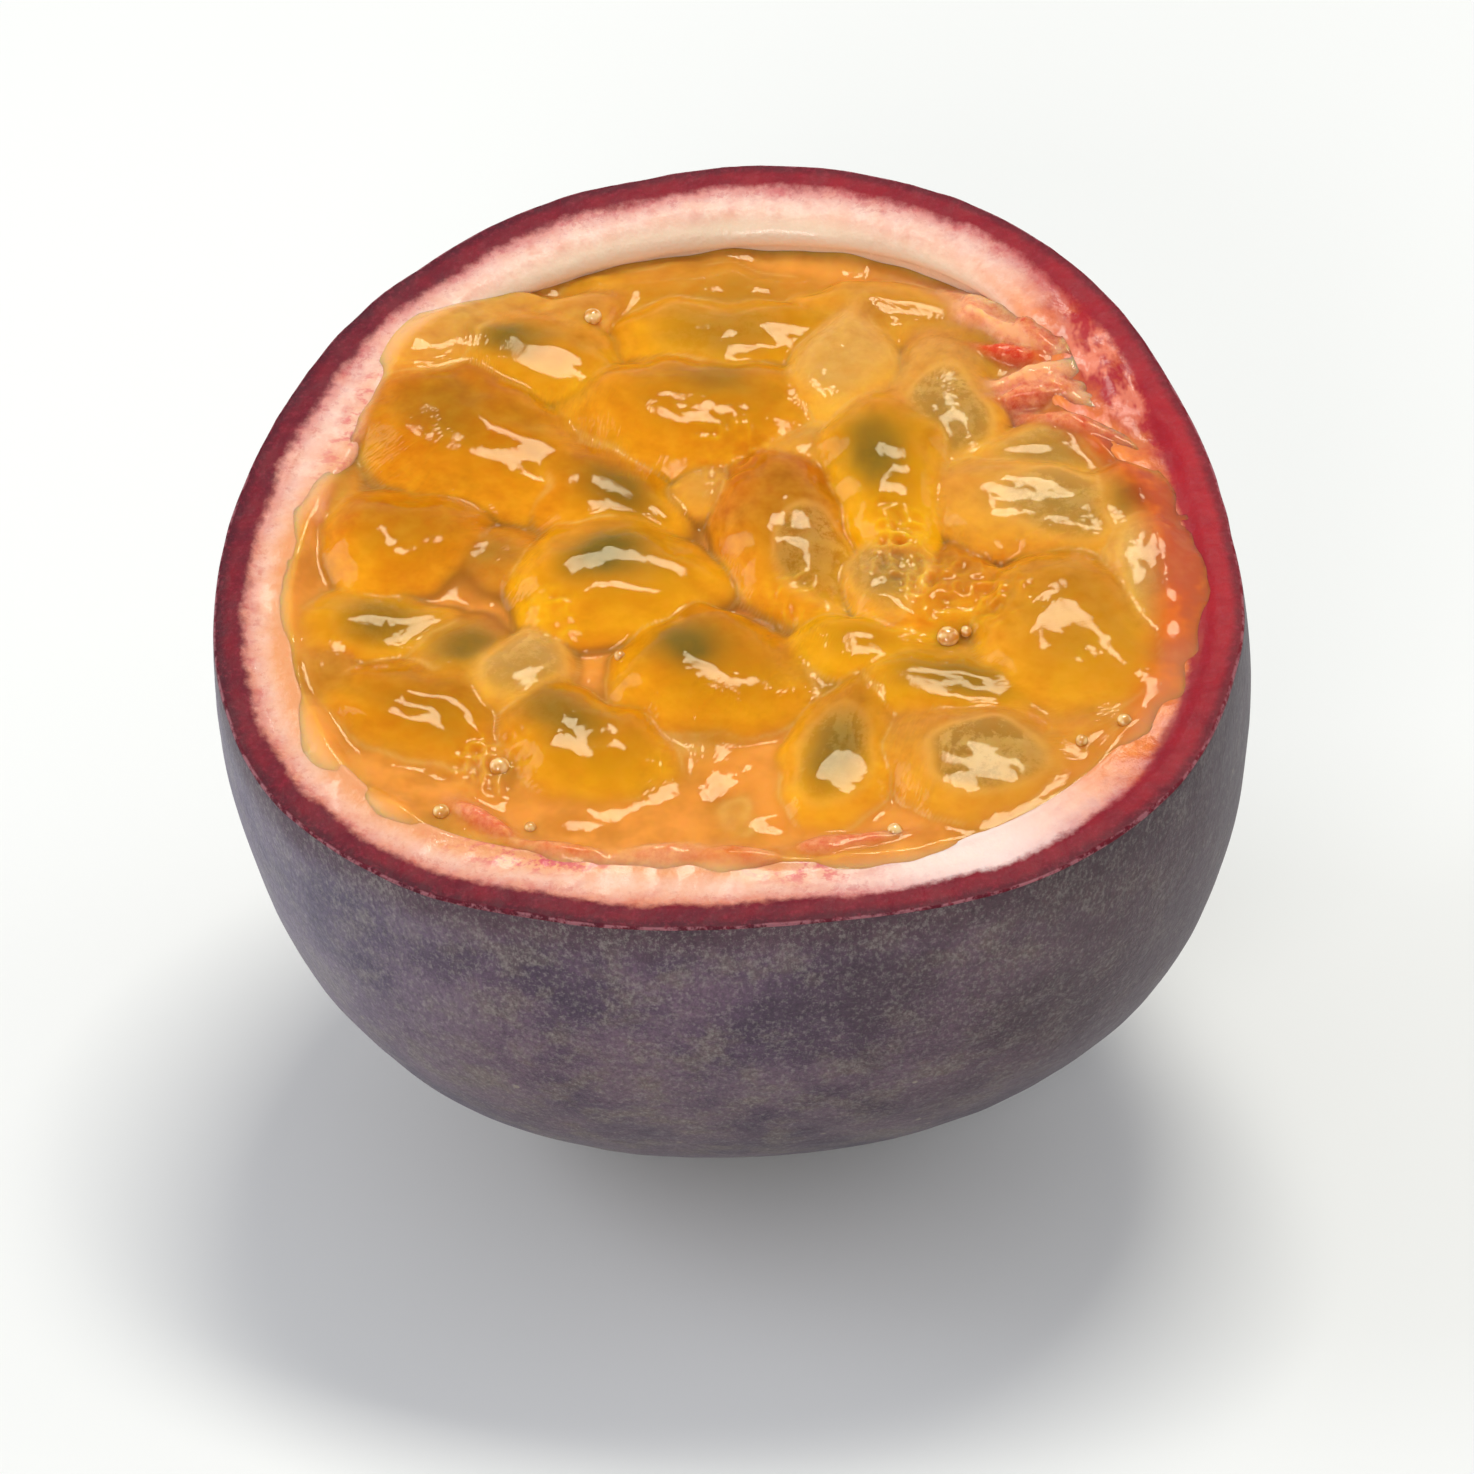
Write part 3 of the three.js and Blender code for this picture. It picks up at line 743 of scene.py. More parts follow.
def skin_material():
    """Greyish purple leather: dark patches, greenish mottles low down, a reddish brown right side that is
    further darkened by painted shade, a waxy bloom on the upper left with a painted bluish sheen, a maroon
    band under the cut that is partly painted shade, a dust of fine speckles and a few corky spots."""
    look = bpy.context.scene.rind_look
    skin = Surface(
        "passion_fruit_skin", sheen_weight=0.10, sheen_roughness=0.45,
        sheen_tint=(0.70, 0.76, 0.95, 1.0), specular_ior_level=0.38,
    )
    low, right = skin.coordinate("Z"), skin.coordinate("X")
    patches, mottles = skin.noise(8.0, 3, 0.6), skin.noise(2.6, 3, 0.65)
    green = (1 - low.step(3.0, 26.0)) * 0.45 + mottles.step(0.44, 0.66) * 0.6 + (0.5 - patches) * 1.4
    # The right side: reddish brown skin, and painted shade there as well
    brown_and_shade = (right + (patches - 0.5) * 24.0).step(0.0, 22.0)
    # Waxy bloom and a painted sheen on the upper left
    bloom_and_sheen = (1 - (right + (patches - 0.5) * 14.0).step(-27.0, -10.0)) * low.step(6.0, 24.0)
    under = skin.attribute("under") + (mottles - 0.5) * 3.0
    grain = skin.noise(0.28, 3, 0.8, (1, 1, 0.7))
    colour = skin.layered(
        look.skin,
        (patches.step(0.38, 0.68), look.skin_dark),
        (green.clipped() * 0.8, look.skin_green),
        (brown_and_shade * 0.8, look.skin_brown_and_shade),
        (bloom_and_sheen * 0.5, BLOOM_AND_SHEEN_BLUE),
        # Maroon band under the cut, partly painted shade
        ((1 - under.step(0.4, 3.2)) * 0.75, MAROON_AND_SHADE_BAND),
        ((grain + (mottles - 0.5) * 0.25).step(0.44, 0.70) * 0.34, look.speckle),
    )
    fine = skin.noise(0.20, 2, 0.6, (1, 1, 0.6))
    # Painted shade: darker on the right side, with random fine grain and mottles
    colour = skin.shaded(colour, (0.16 + fine * 1.30 + mottles * 0.30) * (1 - brown_and_shade * 0.30))
    colour = skin.mix((1 - skin.cells(3.4).step(0.04, 0.07)) * 0.5, colour, CORK)
    relief = grain * 0.5 + skin.noise(1.1, 1) * 0.8
    return skin.finish(
        base_color=colour, roughness=0.42 + grain * 0.24, relief=relief, relief_height=0.10,
    )


def cut_material():
    """The cut through the rind and its inner wall: crimson under the skin with a dark rim and a pink lip, a
    ragged edge to pinkish white pith with red flecks and threads, juice in the pith, wet red flesh at the
    right, and a smooth cream wall inside. It reads how deep a point lies from the skin, how wide the rind
    is there, and the hills of colour round the cut."""
    look = bpy.context.scene.rind_look
    cut = Surface(
        "passion_fruit_cut_rind", subsurface_weight=0.30, subsurface_scale=0.0006,
        subsurface_radius=(1.0, 0.45, 0.35), coat_roughness=0.10, coat_ior=1.33, specular_ior_level=0.16,
    )
    depth, wall, strands = cut.attribute("depth"), cut.attribute("wall"), cut.attribute("strand")
    bright, peach, stained = cut.attribute("bright"), cut.attribute("peach"), cut.attribute("stained")
    torn, bruised = cut.attribute("torn"), cut.attribute("bruised")
    inward = cut.attribute("span") - depth
    width = look.crimson_width / MM
    ragged = (cut.noise(0.7, 4, 0.7) - 0.5) * 0.9 + (cut.noise(3.5, 2) - 0.5) * 0.8
    edge = (depth + ragged - (stained - torn).clipped() * 0.9).step(width - 0.30, width + 0.35)

    rim = 1 - (depth + (cut.noise(0.6, 2) - 0.5) * 0.4).step(0.25, 0.85)
    lip = (1 - depth.step(0.06, 0.20)) * cut.noise(0.7, 3, 0.7).step(0.42, 0.58)
    red = cut.layered(
        look.crimson,
        ((bright + (cut.noise(1.6, 3) - 0.5) * 0.7).clipped(), look.scarlet),
        (rim * 0.55, RIM_DARK),
        (cut.noise(0.30, 2, 0.6).step(0.50, 0.70) * 0.22, RED_GRAIN),
        (lip * 0.6, LIP_PINK),
    )

    tatters = cut.noise(1.5, 3, 0.65, (1, 0.45, 1))
    wet = cut.layered(
        look.scarlet,
        ((1 - inward.step(0.6, 3.2)) + (cut.noise(0.9, 3) - 0.5) * 1.2, WET_ORANGE),
        (tatters.step(0.42, 0.56) * torn * 0.9, TATTER),
        (tatters.step(0.58, 0.70) * torn * 0.8, PALE_TATTER),
    )
    bloody = (stained * 1.9 + (cut.noise(1.3, 3, 0.65) - 0.5) * 1.2 * stained).clipped()

    fibre = cut.noise(0.42, 3, 0.7)
    blush = (1 - (depth + ragged * 1.1).step(width, width + 1.3)) * 0.8
    blush = blush + cut.noise(1.7, 3, 0.65).step(0.50, 0.72) * 0.4
    flecks = (fibre + strands * 0.3).step(0.66, 0.80) * (1 - (depth + ragged).step(2.2, 3.4))
    soaked = peach * 0.40 + (1 - inward.step(0.2, 2.4)) * (0.30 + peach * 1.1)
    soaked = (soaked + (cut.noise(1.2, 3) - 0.5) * 0.7).clipped()
    threads = cut.noise(0.9, 3, 0.7, (1, 1.6, 1)).step(0.46, 0.62) * (1 - inward.step(1.2, 2.2))
    pith = cut.layered(
        look.pith,
        ((fibre * 0.6 + strands * 0.4).step(0.40, 0.66) * 0.8, PITH_FIBRE),
        (blush.clipped(), PITH_BLUSH),
        (flecks * 0.45, PITH_FLECK),
        ((0.0 - peach).clipped() * 0.9, PITH_WHITE),
        (soaked * 0.85, PITH_SOAKED),
        (threads * bruised, RED_THREAD),
        (bloody * 0.95, wet),
    )

    inner = cut.layered(
        look.wall,
        (cut.noise(2.0, 2).step(0.35, 0.7) * 0.4, WALL_CREAM),
        ((1 - (inward + 3.6).step(0.0, 1.6)) * 0.5, WALL_JUICE),
        ((stained + peach * 0.8).clipped() * 0.9, WALL_STAIN),
    )
    roughness = 0.50 - (soaked * 0.28 + wall * 0.16 + bloody * 0.28) * edge + (fibre - 0.5) * 0.2
    coat = (soaked * 0.6 + wall * 0.4 + torn * 0.35) * edge * (1 - stained.clipped() * 0.6)
    return cut.finish(
        base_color=cut.layered(red, (edge, pith), (wall, inner)), roughness=roughness.clipped(),
        coat_weight=coat.clipped(), relief=fibre * 0.4 + cut.noise(1.3, 2) * 0.8, relief_height=0.12,
    )


def pulp_material():
    """Wet gel: orange to yellow sacs that shine wet, with painted light gathered in their lower edges and
    painted brightening towards their outlines, golden streaks, dark seeds showing soft through them and
    kernels clear with painted shade on their lower part, pale skins where two meet with a painted highlight
    along the seam, dark brown painted shade in the gaps between sacs, peach juice between, a thin lap of it
    on the pith, red stains and torn flesh. It reads the sacs' own values, which the mesh carries at its
    points."""
    look = bpy.context.scene.pulp_look
    gel = Surface(
        "passion_fruit_pulp", subsurface_weight=1.0, subsurface_scale=0.0024,
        subsurface_radius=(1.0, 0.45, 0.10), roughness=0.04, ior=1.4, specular_ior_level=0.29,
        specular_tint=(1.0, 0.91, 0.68, 1.0),
    )
    tone, milk, seed = gel.attribute("tone"), gel.attribute("milk"), gel.attribute("seed")
    glass, seam_skin_and_highlight, juice = gel.attribute("glass"), gel.attribute("seam_skin_and_highlight"), gel.attribute("juice")
    edge, streak, painted_glow = gel.attribute("edge"), gel.attribute("streak"), gel.attribute("painted_glow")
    stain, redness = gel.attribute("stain"), gel.attribute("redness")
    drift = gel.noise(3.2, 3, 0.6)
    swirl = gel.noise(1.1, 2, 0.6, (1, 1, 2))
    grain = gel.noise(0.5, 3, 0.75)

    # Painted light: yellower and less golden towards the lower edge of each sac
    ripe = tone * 1.05 + (drift - 0.5) * 1.3 + painted_glow * 0.45 - 0.29
    amber = 0.92 - tone * 0.65 - painted_glow * 0.75 + (drift - 0.5) * 1.4 + streak * 0.5
    colour = gel.layered(
        look.orange,
        (ripe.clipped(), look.yellow),
        (amber.clipped() * 0.62, look.gold),
        ((1 - edge) * (swirl * 1.3 - 0.1).clipped(), look.ochre),
    )
    # Painted light: brighter towards each sac's lower edge and its outline, with random swirls
    colour = gel.shaded(colour, 0.77 + painted_glow * 0.26 + edge * 0.15 + (swirl - 0.5) * 0.36)

    kernel = gel.layered(
        look.kernel,
        ((grain + streak * 0.45).step(0.38, 0.66), look.kernel_pale),
        (milk * 0.6, KERNEL_MILK),
    )
    # Painted shade: the kernel darker towards the lower part of its sac, lighter above
    kernel = gel.shaded(kernel, 1.20 - painted_glow * 0.55)
    cloud = (milk * 1.1 + (swirl - 0.5) * 0.9 * (milk + 0.25)).clipped()
    stain = (stain + (drift - 0.5) * stain).clipped()
    torn = (redness + (grain - 0.5) * 1.4 + (swirl - 0.5) * 1.2).clipped()
    colour = gel.layered(
        colour,
        (cloud * 0.8, look.milk),
        ((seed * (0.75 + swirl * 0.5)).clipped(), look.seed_blur),
        ((glass * (0.30 + swirl * 0.7)).clipped() * 0.80, kernel),
        (gel.attribute("rim") * 0.45, look.milk),
        (juice * 0.82, gel.mix(drift.step(0.38, 0.70) * 0.5, look.juice, look.gold)),
        # Painted light gathered in the lower edges of the sacs
        (edge * painted_glow * (swirl * 1.8 - 0.2).clipped() * 0.65, look.painted_glow),
        # Painted shade in the low gaps between the sacs
        (gel.attribute("crevice_shade") * 0.6, look.crevice_shade),
        # Pale skins where two sacs meet, with a painted highlight along the seam
        (seam_skin_and_highlight * (0.25 + swirl * 0.5), look.milk),
        (gel.attribute("lap") * 0.85, THIN_JUICE),
        (stain * 0.85, gel.mix(drift.step(0.40, 0.62), STAIN_RED, STAIN_ORANGE)),
        (gel.attribute("shred"), gel.mix(torn, look.shred_pale, look.shred_red)),
    )
    relief = gel.noise(1.5, 2, 0.6, (1, 1, 0.6)) * 1.1 + streak * 0.55
    return gel.finish(base_color=colour, relief=relief, relief_height=0.04)


def seed_material():
    """A hard, dark olive seed coat with pale rims round its pits and tan patches."""
    seed = Surface("passion_fruit_seed", coat_weight=0.5, coat_roughness=0.15, specular_ior_level=0.6)
    pits = seed.cells(0.5)
    colour = seed.layered(
        SEED_PIT,
        (pits.step(0.10, 0.38), SEED_RIM),
        (seed.noise(1.3, 2).step(0.5, 0.75) * 0.5, SEED_TAN),
    )
    return seed.finish(
        base_color=colour, roughness=0.34 + seed.noise(0.4) * 0.2, relief=pits.step(0.0, 0.45),
        relief_height=0.08,
    )


def scar_material():
    """Dry, corky tan wood with paler and darker specks and dark cracks."""
    scar = Surface("passion_fruit_stem_scar", specular_ior_level=0.25)
    specks = scar.noise(0.5, 4, 0.7)
    colour = scar.layered(
        SCAR_WOOD,
        (specks.step(0.35, 0.65), SCAR_PALE),
        (scar.noise(0.22, 2, 0.7).step(0.60, 0.72), SCAR_CRACK),
    )
    return scar.finish(base_color=colour, roughness=0.7 + specks * 0.25, relief=specks, relief_height=0.18)


def bubble_material():
    """A clear bead of air under a film of juice."""
    bead = Surface(
        "passion_fruit_bubble", roughness=0.05, coat_weight=1.0, coat_roughness=0.02, coat_ior=1.5,
        subsurface_weight=0.5, subsurface_scale=0.001, subsurface_radius=(1.0, 0.5, 0.15),
    )
    return bead.finish(base_color=bead.mix(bead.noise(0.4, 1).step(0.35, 0.65), FILM_AMBER, FILM_PALE))


def skin_rows(share, angle):
    """The outside of the rind: the plain body, moved outwards by noise that fades at the far end."""
    _, _, equator_depth, _, _ = sizes()
    skin = outer_body(share, angle)
    outward = skin - np.array([0, 0, -equator_depth])
    outward = outward / np.linalg.norm(outward, axis=-1, keepdims=True)
    swell = 0.30 * noise(skin, 15, 1) + 0.12 * noise(skin, 5.5, 2) + 0.03 * noise(skin, 1.6, 3)
    return skin + outward * (swell * smooth_step(share, 0.0, 0.2)[:, None])[..., None]


def cut_rows(depth, span, edge_radius, rounding, angle):
    """The cut through the rind from the skin inwards: fibres, soft waves, deeper ones where it is shredded,
    a pith that stands lower, burrs on the lip and an inner edge rounded by a quarter circle."""
    radius, _, _, _, _ = sizes()
    cut = on_circle(edge_radius - depth, angle, 0.0)
    fibres = np.stack(np.broadcast_arrays(angle * radius, depth * 0.45, 0.0), axis=-1)
    relief = 0.02 * noise(fibres, 0.5, 4) + 0.06 * noise(cut, 1.3, 5) + 0.10 * noise(cut, 4.0, 6)
    shredded = hills(angle, SHREDDED) * smooth_step(depth, 0.8, 2.4)
    relief = relief + shredded * (0.35 * noise(cut, 1.9, 35) + 0.14 * noise(cut, 0.8, 36))
    pith = smooth_step(depth, 1.4, 2.2) * smooth_step(span - depth, 0.0, 0.8)
    ragged = np.clip(noise(cut[:1], 0.55, 7) + noise(cut[:1], 2.2, 8), 0, 1.5)
    burr = 0.10 * ragged * hills(angle, BURRED) * bell(depth, 0.12)
    over = np.clip(1 - (span - depth) / rounding, 0, 1)
    rounded = -rounding * (1 - np.sqrt(1 - over**2)) - 0.06 * np.exp(-depth / 0.05)
    cut[..., 2] = relief * smooth_step(span - depth, 0.0, 0.5) - PITH_DROP * pith + burr + rounded
    return cut


def wall_rows(down, rounding, angle):
    """The inner wall from the cut down to its own far end, with soft folds pressed into it. Returns the
    points and their heights before the folds."""
    _, half_length, equator_depth, _, end = sizes()
    turn = turns_to_cut(half_length - end, equator_depth, down)
    _, wall_z = body_point(1, half_length - end, equator_depth, turn)
    wall_z = wall_z[:, None] - rounding * (1 - wall_z[:, None] / wall_z[-1])
    inside = on_circle(inner_radius(angle, wall_z), angle, wall_z)
    folds = 0.10 * noise(inside * np.array([1, 1, 0.4]), 2.6, 9) * smooth_step(-wall_z, 0.2, 1.0)
    outward = inside * np.array([1, 1, 0])
    outward = outward / np.maximum(np.linalg.norm(outward, axis=-1, keepdims=True), 1e-6)
    return inside - outward * np.abs(folds)[..., None], wall_z


def rind_rows(angle):
    """The rind as one closed skin, row by row: from the far end up the outside, over the cut and down the
    inner wall to its own far end. Returns the points, what the cut's material reads at each, and how many
    rows the outside has."""
    radius, _, _, _, _ = sizes()
    share = np.concatenate([np.linspace(0.004, 1, 84)[:-1] ** 1.2, [0.992, 0.997]])
    across = np.concatenate([[0.02, 0.045, 0.075], np.linspace(0.11, 0.93, 26), [0.96, 0.98, 0.995]])
    across = across[:, None]
    down = 1 - np.linspace(0, 1, 46)[:-1] ** 1.5
    skin = skin_rows(share, angle)
    angle = angle[None, :]
    edge_radius = np.hypot(skin[-1:, :, 0], skin[-1:, :, 1])
    span = edge_radius - inner_radius(angle, 0.0)
    depth = across * span
    rounding = EDGE_ROUNDING + hills(angle, ROUNDED)
    cut = cut_rows(depth, span, edge_radius, rounding, angle)
    inside, wall_z = wall_rows(down, rounding, angle)
    radial = np.stack(np.broadcast_arrays(angle * radius, depth * 0.30, 3.0), axis=-1)
    strands = 0.5 + 0.35 * noise(radial, 0.55, 33) + 0.25 * noise(radial, 0.28, 34)
    wet_edge = smooth_step(-cut[..., 2], 0.10, 0.80) * (across > 0.5)
    by_angle = {
        "span": span,
        "bright": BRIGHT_LEAST + hills(angle, BRIGHT),
        "peach": hills(angle, PEACH),
        "stained": hills(angle, STAINED),
        "torn": hills(angle, TORN),
        "bruised": hills(angle, BRUISED),
    }
    on_parts = {title: (value, value, value) for title, value in by_angle.items()}
    on_parts["strand"] = (0.5, strands, 0.5)
    on_parts["depth"] = (-0.4, depth, span - wall_z)
    on_parts["wall"] = (0.0, wet_edge, 1.0)
    on_parts["under"] = (-skin[..., 2], 0.0, 0.0)
    values = {}
    for title, trio in on_parts.items():
        parts = [np.broadcast_to(value, part.shape[:2]) for value, part in zip(trio, (skin, cut, inside))]
        values[title] = np.concatenate(parts)
    return np.concatenate([skin, cut, inside]), values, len(share)


def filler_sacs():
    """Plain sacs on a spiral, wherever no other sac lies near, as rows like those of SACS."""
    fillers = []
    for i in range(FILLER_COUNT):
        turn = math.radians(i * GOLDEN_ANGLE)
        reach = FILLER_SPREAD * math.sqrt((i + 0.5) / FILLER_COUNT)
        x, y = reach * math.cos(turn), reach * math.sin(turn)
        if all(math.hypot(sac[0] - x, sac[1] - y) > FILLER_CLEARANCE for sac in SACS):
            tone = 0.15 + 0.5 * ((i * 0.37) % 1)
            fillers.append((x, y, i * GOLDEN_ANGLE, *FILLER_SIZE, tone, 0.15, 0.3, 0.0, 0.0, 0.0))
    return fillers


def own_frame(x, y, middle_x, middle_y, heading):
    """How far points lie along and across a sac or shred with that middle and that heading in degrees."""
    turn = math.radians(heading)
    along = (x - middle_x) * math.cos(turn) + (y - middle_y) * math.sin(turn)
    across = (y - middle_y) * math.cos(turn) - (x - middle_x) * math.sin(turn)
    return along, across


def dome(far, power, fall):
    """The root of one less that power of far: 1 in the middle and 0 at the outline, where far is 1. Outside
    it falls away steadily."""
    return np.clip(1 - far**power, 0, 1) ** 0.5 - np.maximum(far - 1, 0) * fall


def sac_fields(table, x, y):
    """For each sac in the table, over the points (x, y): the height of its upper skin, which is a dome of
    half its thickness with folds along it by a sine across it. Then the place along and across it in
    millimetres, with the sac bent by a parabola, and the share of the way to its outline."""
    fields = []
    for i, (middle_x, middle_y, heading, length, width, crown) in enumerate(table[:, :6]):
        length, width = length * SAC_SWELL, width * SAC_SWELL
        half = width * SAC_PLUMPNESS / 2
        along, across = own_frame(x, y, middle_x, middle_y, heading)
        across = across + 0.35 * math.sin(2.4 * i) * along**2 / length
        slim = 1 - SAC_TAPER * np.clip(2 * along / length, -1, 1)
        far = np.sqrt((2 * along / length) ** 2 + (2 * across / (width * slim)) ** 2)
        folds = SAC_FOLDS * ((i * 0.618) % 1) * np.sin(2.3 * across + 1.2 * np.sin(0.5 * along + i))
        fields.append((crown - half + half * slim * dome(far, 2.4, 1.5) + folds, along, across, far))
    return [np.array(field) for field in zip(*fields)]


def shred_heights(flat):
    """The torn shreds over the points: low domes with a ragged outline, grained along their length."""
    ragged = 0.26 * noise(flat, 1.7, 17) + 0.08 * noise(flat, 0.7, 23)
    rough = 0.05 * noise(flat, 0.5, 19)
    heights = []
    for middle_x, middle_y, heading, length, width, crown, _ in SHREDS:
        along, across = own_frame(flat[..., 0], flat[..., 1], middle_x, middle_y, heading)
        far = np.hypot(along * 2 / length, across * 2 / width) + ragged
        grain = np.stack([along * 2 / 9, across, np.full_like(along, middle_x)], axis=-1)
        height = crown - width / 2 + width / 2 * dome(far, 2, 2)
        heights.append(height + 0.24 * noise(grain, 0.62, 18) + rough)
    return np.array(heights)


def juice_height(flat, angle, to_wall):
    """The juice: a slanting level with low waves, and a brim where it climbs the wall, except round
    LOW_SIDE."""
    juice = JUICE_LEVEL - math.tan(math.radians(JUICE_SLANT)) * flat[..., 1]
    juice = juice + 0.25 * noise(flat, 3.0, 16) + 0.08 * noise(flat, 1.1, 26)
    low = smooth_step(np.cos(angle - math.radians(LOW_SIDE)), 0.25, 0.75)
    for at, share, spread in HIGH_BRIM:
        low = low * (1 - share * bump(angle, at, spread))
    brim = BRIM_HEIGHT - BRIM_DROP * low + 0.26 * noise(flat, 2.2, 27)
    return juice + np.maximum(brim - juice, 0) * np.exp(-np.maximum(to_wall, 0) / BRIM_REACH)


def lap_width(angle):
    """How far the pulp's edge runs out over the pith: PULP_OVERLAP and the hills of LAPS."""
    return PULP_OVERLAP + hills(angle, LAPS)


def sac_values(flat, table, own, along, across, far):
    """What the pulp's material reads from the sacs, each of which counts as much as own says: its looks in
    the table, a blurred and a crisp seed with a rim round it, the way to its outline, the light gathered in
    its lower half and the streaks along it."""

    def blend(value):
        return (own * value).sum(axis=0)

    _, middle_y, heading, length, width, _ = table.T[:6, :, None]
    tone, milk, dark, glass, seed_along, seed_across = table.T[6:, :, None]
    seed_long, seed_wide = SEED_SIZE[0] / 2, SEED_SIZE[1] / 2
    from_seed = np.hypot((along - seed_along) / seed_long, (across - seed_across) / seed_wide)
    half_width = width * SAC_SWELL / 2
    above = (flat[..., 1] - middle_y) / np.maximum(half_width, length * SAC_SWELL / 3)
    lengthwise = np.stack([blend(along) * 0.22, blend(across), blend(heading) * 0.3], axis=-1)
    streak = 0.6 * noise(lengthwise, 0.75, 24) + 0.4 * noise(lengthwise, 0.32, 25)
    return {
        "tone": blend(tone),
        "milk": blend(milk),
        "seed": blend(dark * (1 - smooth_step(from_seed, 0.20, 1.35))),
        "glass": blend(glass * (1 - smooth_step(from_seed, 0.95, 1.30))),
        "rim": blend(glass * bell(from_seed - 1.22, 0.13)),
        "edge": smooth_step(blend(far), 0.25, 0.90),
        # Painted light: 1 towards the lower side of each sac, 0 towards its upper side
        "painted_glow": smooth_step(blend(-above), -1.0, 0.9),
        "streak": streak * blend(1.0),
    }


def pulp_surface(x, y):
    """The top of the pulp over (x, y) and what its material reads there. The skins of the sacs, the juice
    and the shreds are joined by a smooth maximum: the logarithm of the sum of their exponentials. Froth
    roughens it with beads, and where it laps over the pith it sinks to its edge."""
    flat = np.stack([x, y, np.zeros_like(x)], axis=-1)
    warp_x = x + 0.8 * noise(flat, 4.6, 11) + 0.30 * noise(flat, 1.6, 12)
    warp_y = y + 0.8 * noise(flat, 4.6, 13) + 0.30 * noise(flat, 1.6, 14)
    table = np.array(SACS + filler_sacs(), dtype=float)
    sacs, along, across, far = sac_fields(table, warp_x, warp_y)
    sacs = sacs + 0.12 * noise(flat, 2.6, 15) + 0.03 * noise(flat, 0.9, 20)
    angle = np.arctan2(y, x)
    to_wall = inner_radius(angle, WALL_LEVEL) - np.hypot(x, y)
    juice = juice_height(flat, angle, to_wall)
    layers = np.concatenate([sacs, juice[None], shred_heights(flat)])
    top = layers.max(axis=0)
    weights = np.exp(JOIN_SHARPNESS * (layers - top))
    total = weights.sum(axis=0)
    froth = sum(np.exp(-((np.hypot(x - at_x, y - at_y) / size) ** 4)) for at_x, at_y, size in FROTH)
    beads = np.abs(noise(flat, 0.85, 29)) + 0.5 * np.abs(noise(flat, 0.5, 30))
    height = top + np.log(total) / JOIN_SHARPNESS + FROTH_HEIGHT * froth * (0.5 - beads)
    run_out = -to_wall / lap_width(angle)
    height = height - EDGE_DROP * smooth_step(run_out, 0.0, 0.9)
    height = height - (height - EDGE_FLOOR) * smooth_step(run_out, 0.85, 1.0)

    weights = weights / total
    own, wet, torn = weights[:len(sacs)], weights[len(sacs)], weights[len(sacs) + 1:]
    second, first = np.sort(layers, axis=0)[-2:]
    seam = first - second
    redness = np.array([shred[-1] for shred in SHREDS])[:, None]
    # Painted shade: dark where two layers meet low in the pulp, faded at the front and the back
    crevice_shade = bell(seam, 0.45) * smooth_step(-top, 0.5, 1.5)
    values = sac_values(flat, table, own, along, across, far)
    values["tone"] = values["tone"] + 0.3 * wet
    # Pale skins where two sacs meet, with a painted highlight along the seam
    values["seam_skin_and_highlight"] = bell(seam, 0.12) * smooth_step(noise(flat, 2.4, 28), -0.25, 0.35)
    values["crevice_shade"] = crevice_shade * (1 - smooth_step(-y, 8, 14)) * (1 - 0.8 * smooth_step(y, 12, 18))
    values["lap"] = smooth_step(-to_wall, -0.2, 0.9)
    values["stain"] = hills(angle, PULP_STAINED) * (1 - smooth_step(to_wall, -0.8, 1.9))
    values["juice"] = wet
    values["shred"] = torn.sum(axis=0)
    values["redness"] = (torn * redness).sum(axis=0) / np.maximum(torn.sum(axis=0), 1e-6)
    return height, values


def disc_grid(count):
    """A square grid folded onto a disc: the square's rings become the disc's. Returns reach from 0 to 1 and
    angle at each point, the points' numbers, and those of the rim, anticlockwise from the corner at -135
    degrees."""
    line = np.linspace(-1, 1, count)
    across, up = np.meshgrid(line, line, indexing="xy")
    reach = np.maximum(np.abs(across), np.abs(up))
    wide = np.abs(across) > np.abs(up)
    safe = np.where(reach == 0, 1, np.where(wide, across, up))
    slope = np.where(wide, up, across) / safe
    quarter = math.pi / 4 * slope
    angle = np.where(
        wide,
        np.where(across > 0, quarter, math.pi + quarter),
        np.where(up > 0, math.pi / 2 - quarter, 3 * math.pi / 2 - quarter),
    )
    number = np.arange(count * count).reshape(count, count)
    rim = np.concatenate([number[0, :-1], number[:-1, -1], number[-1, :0:-1], number[:0:-1, 0]])
    return reach, angle, number, rim


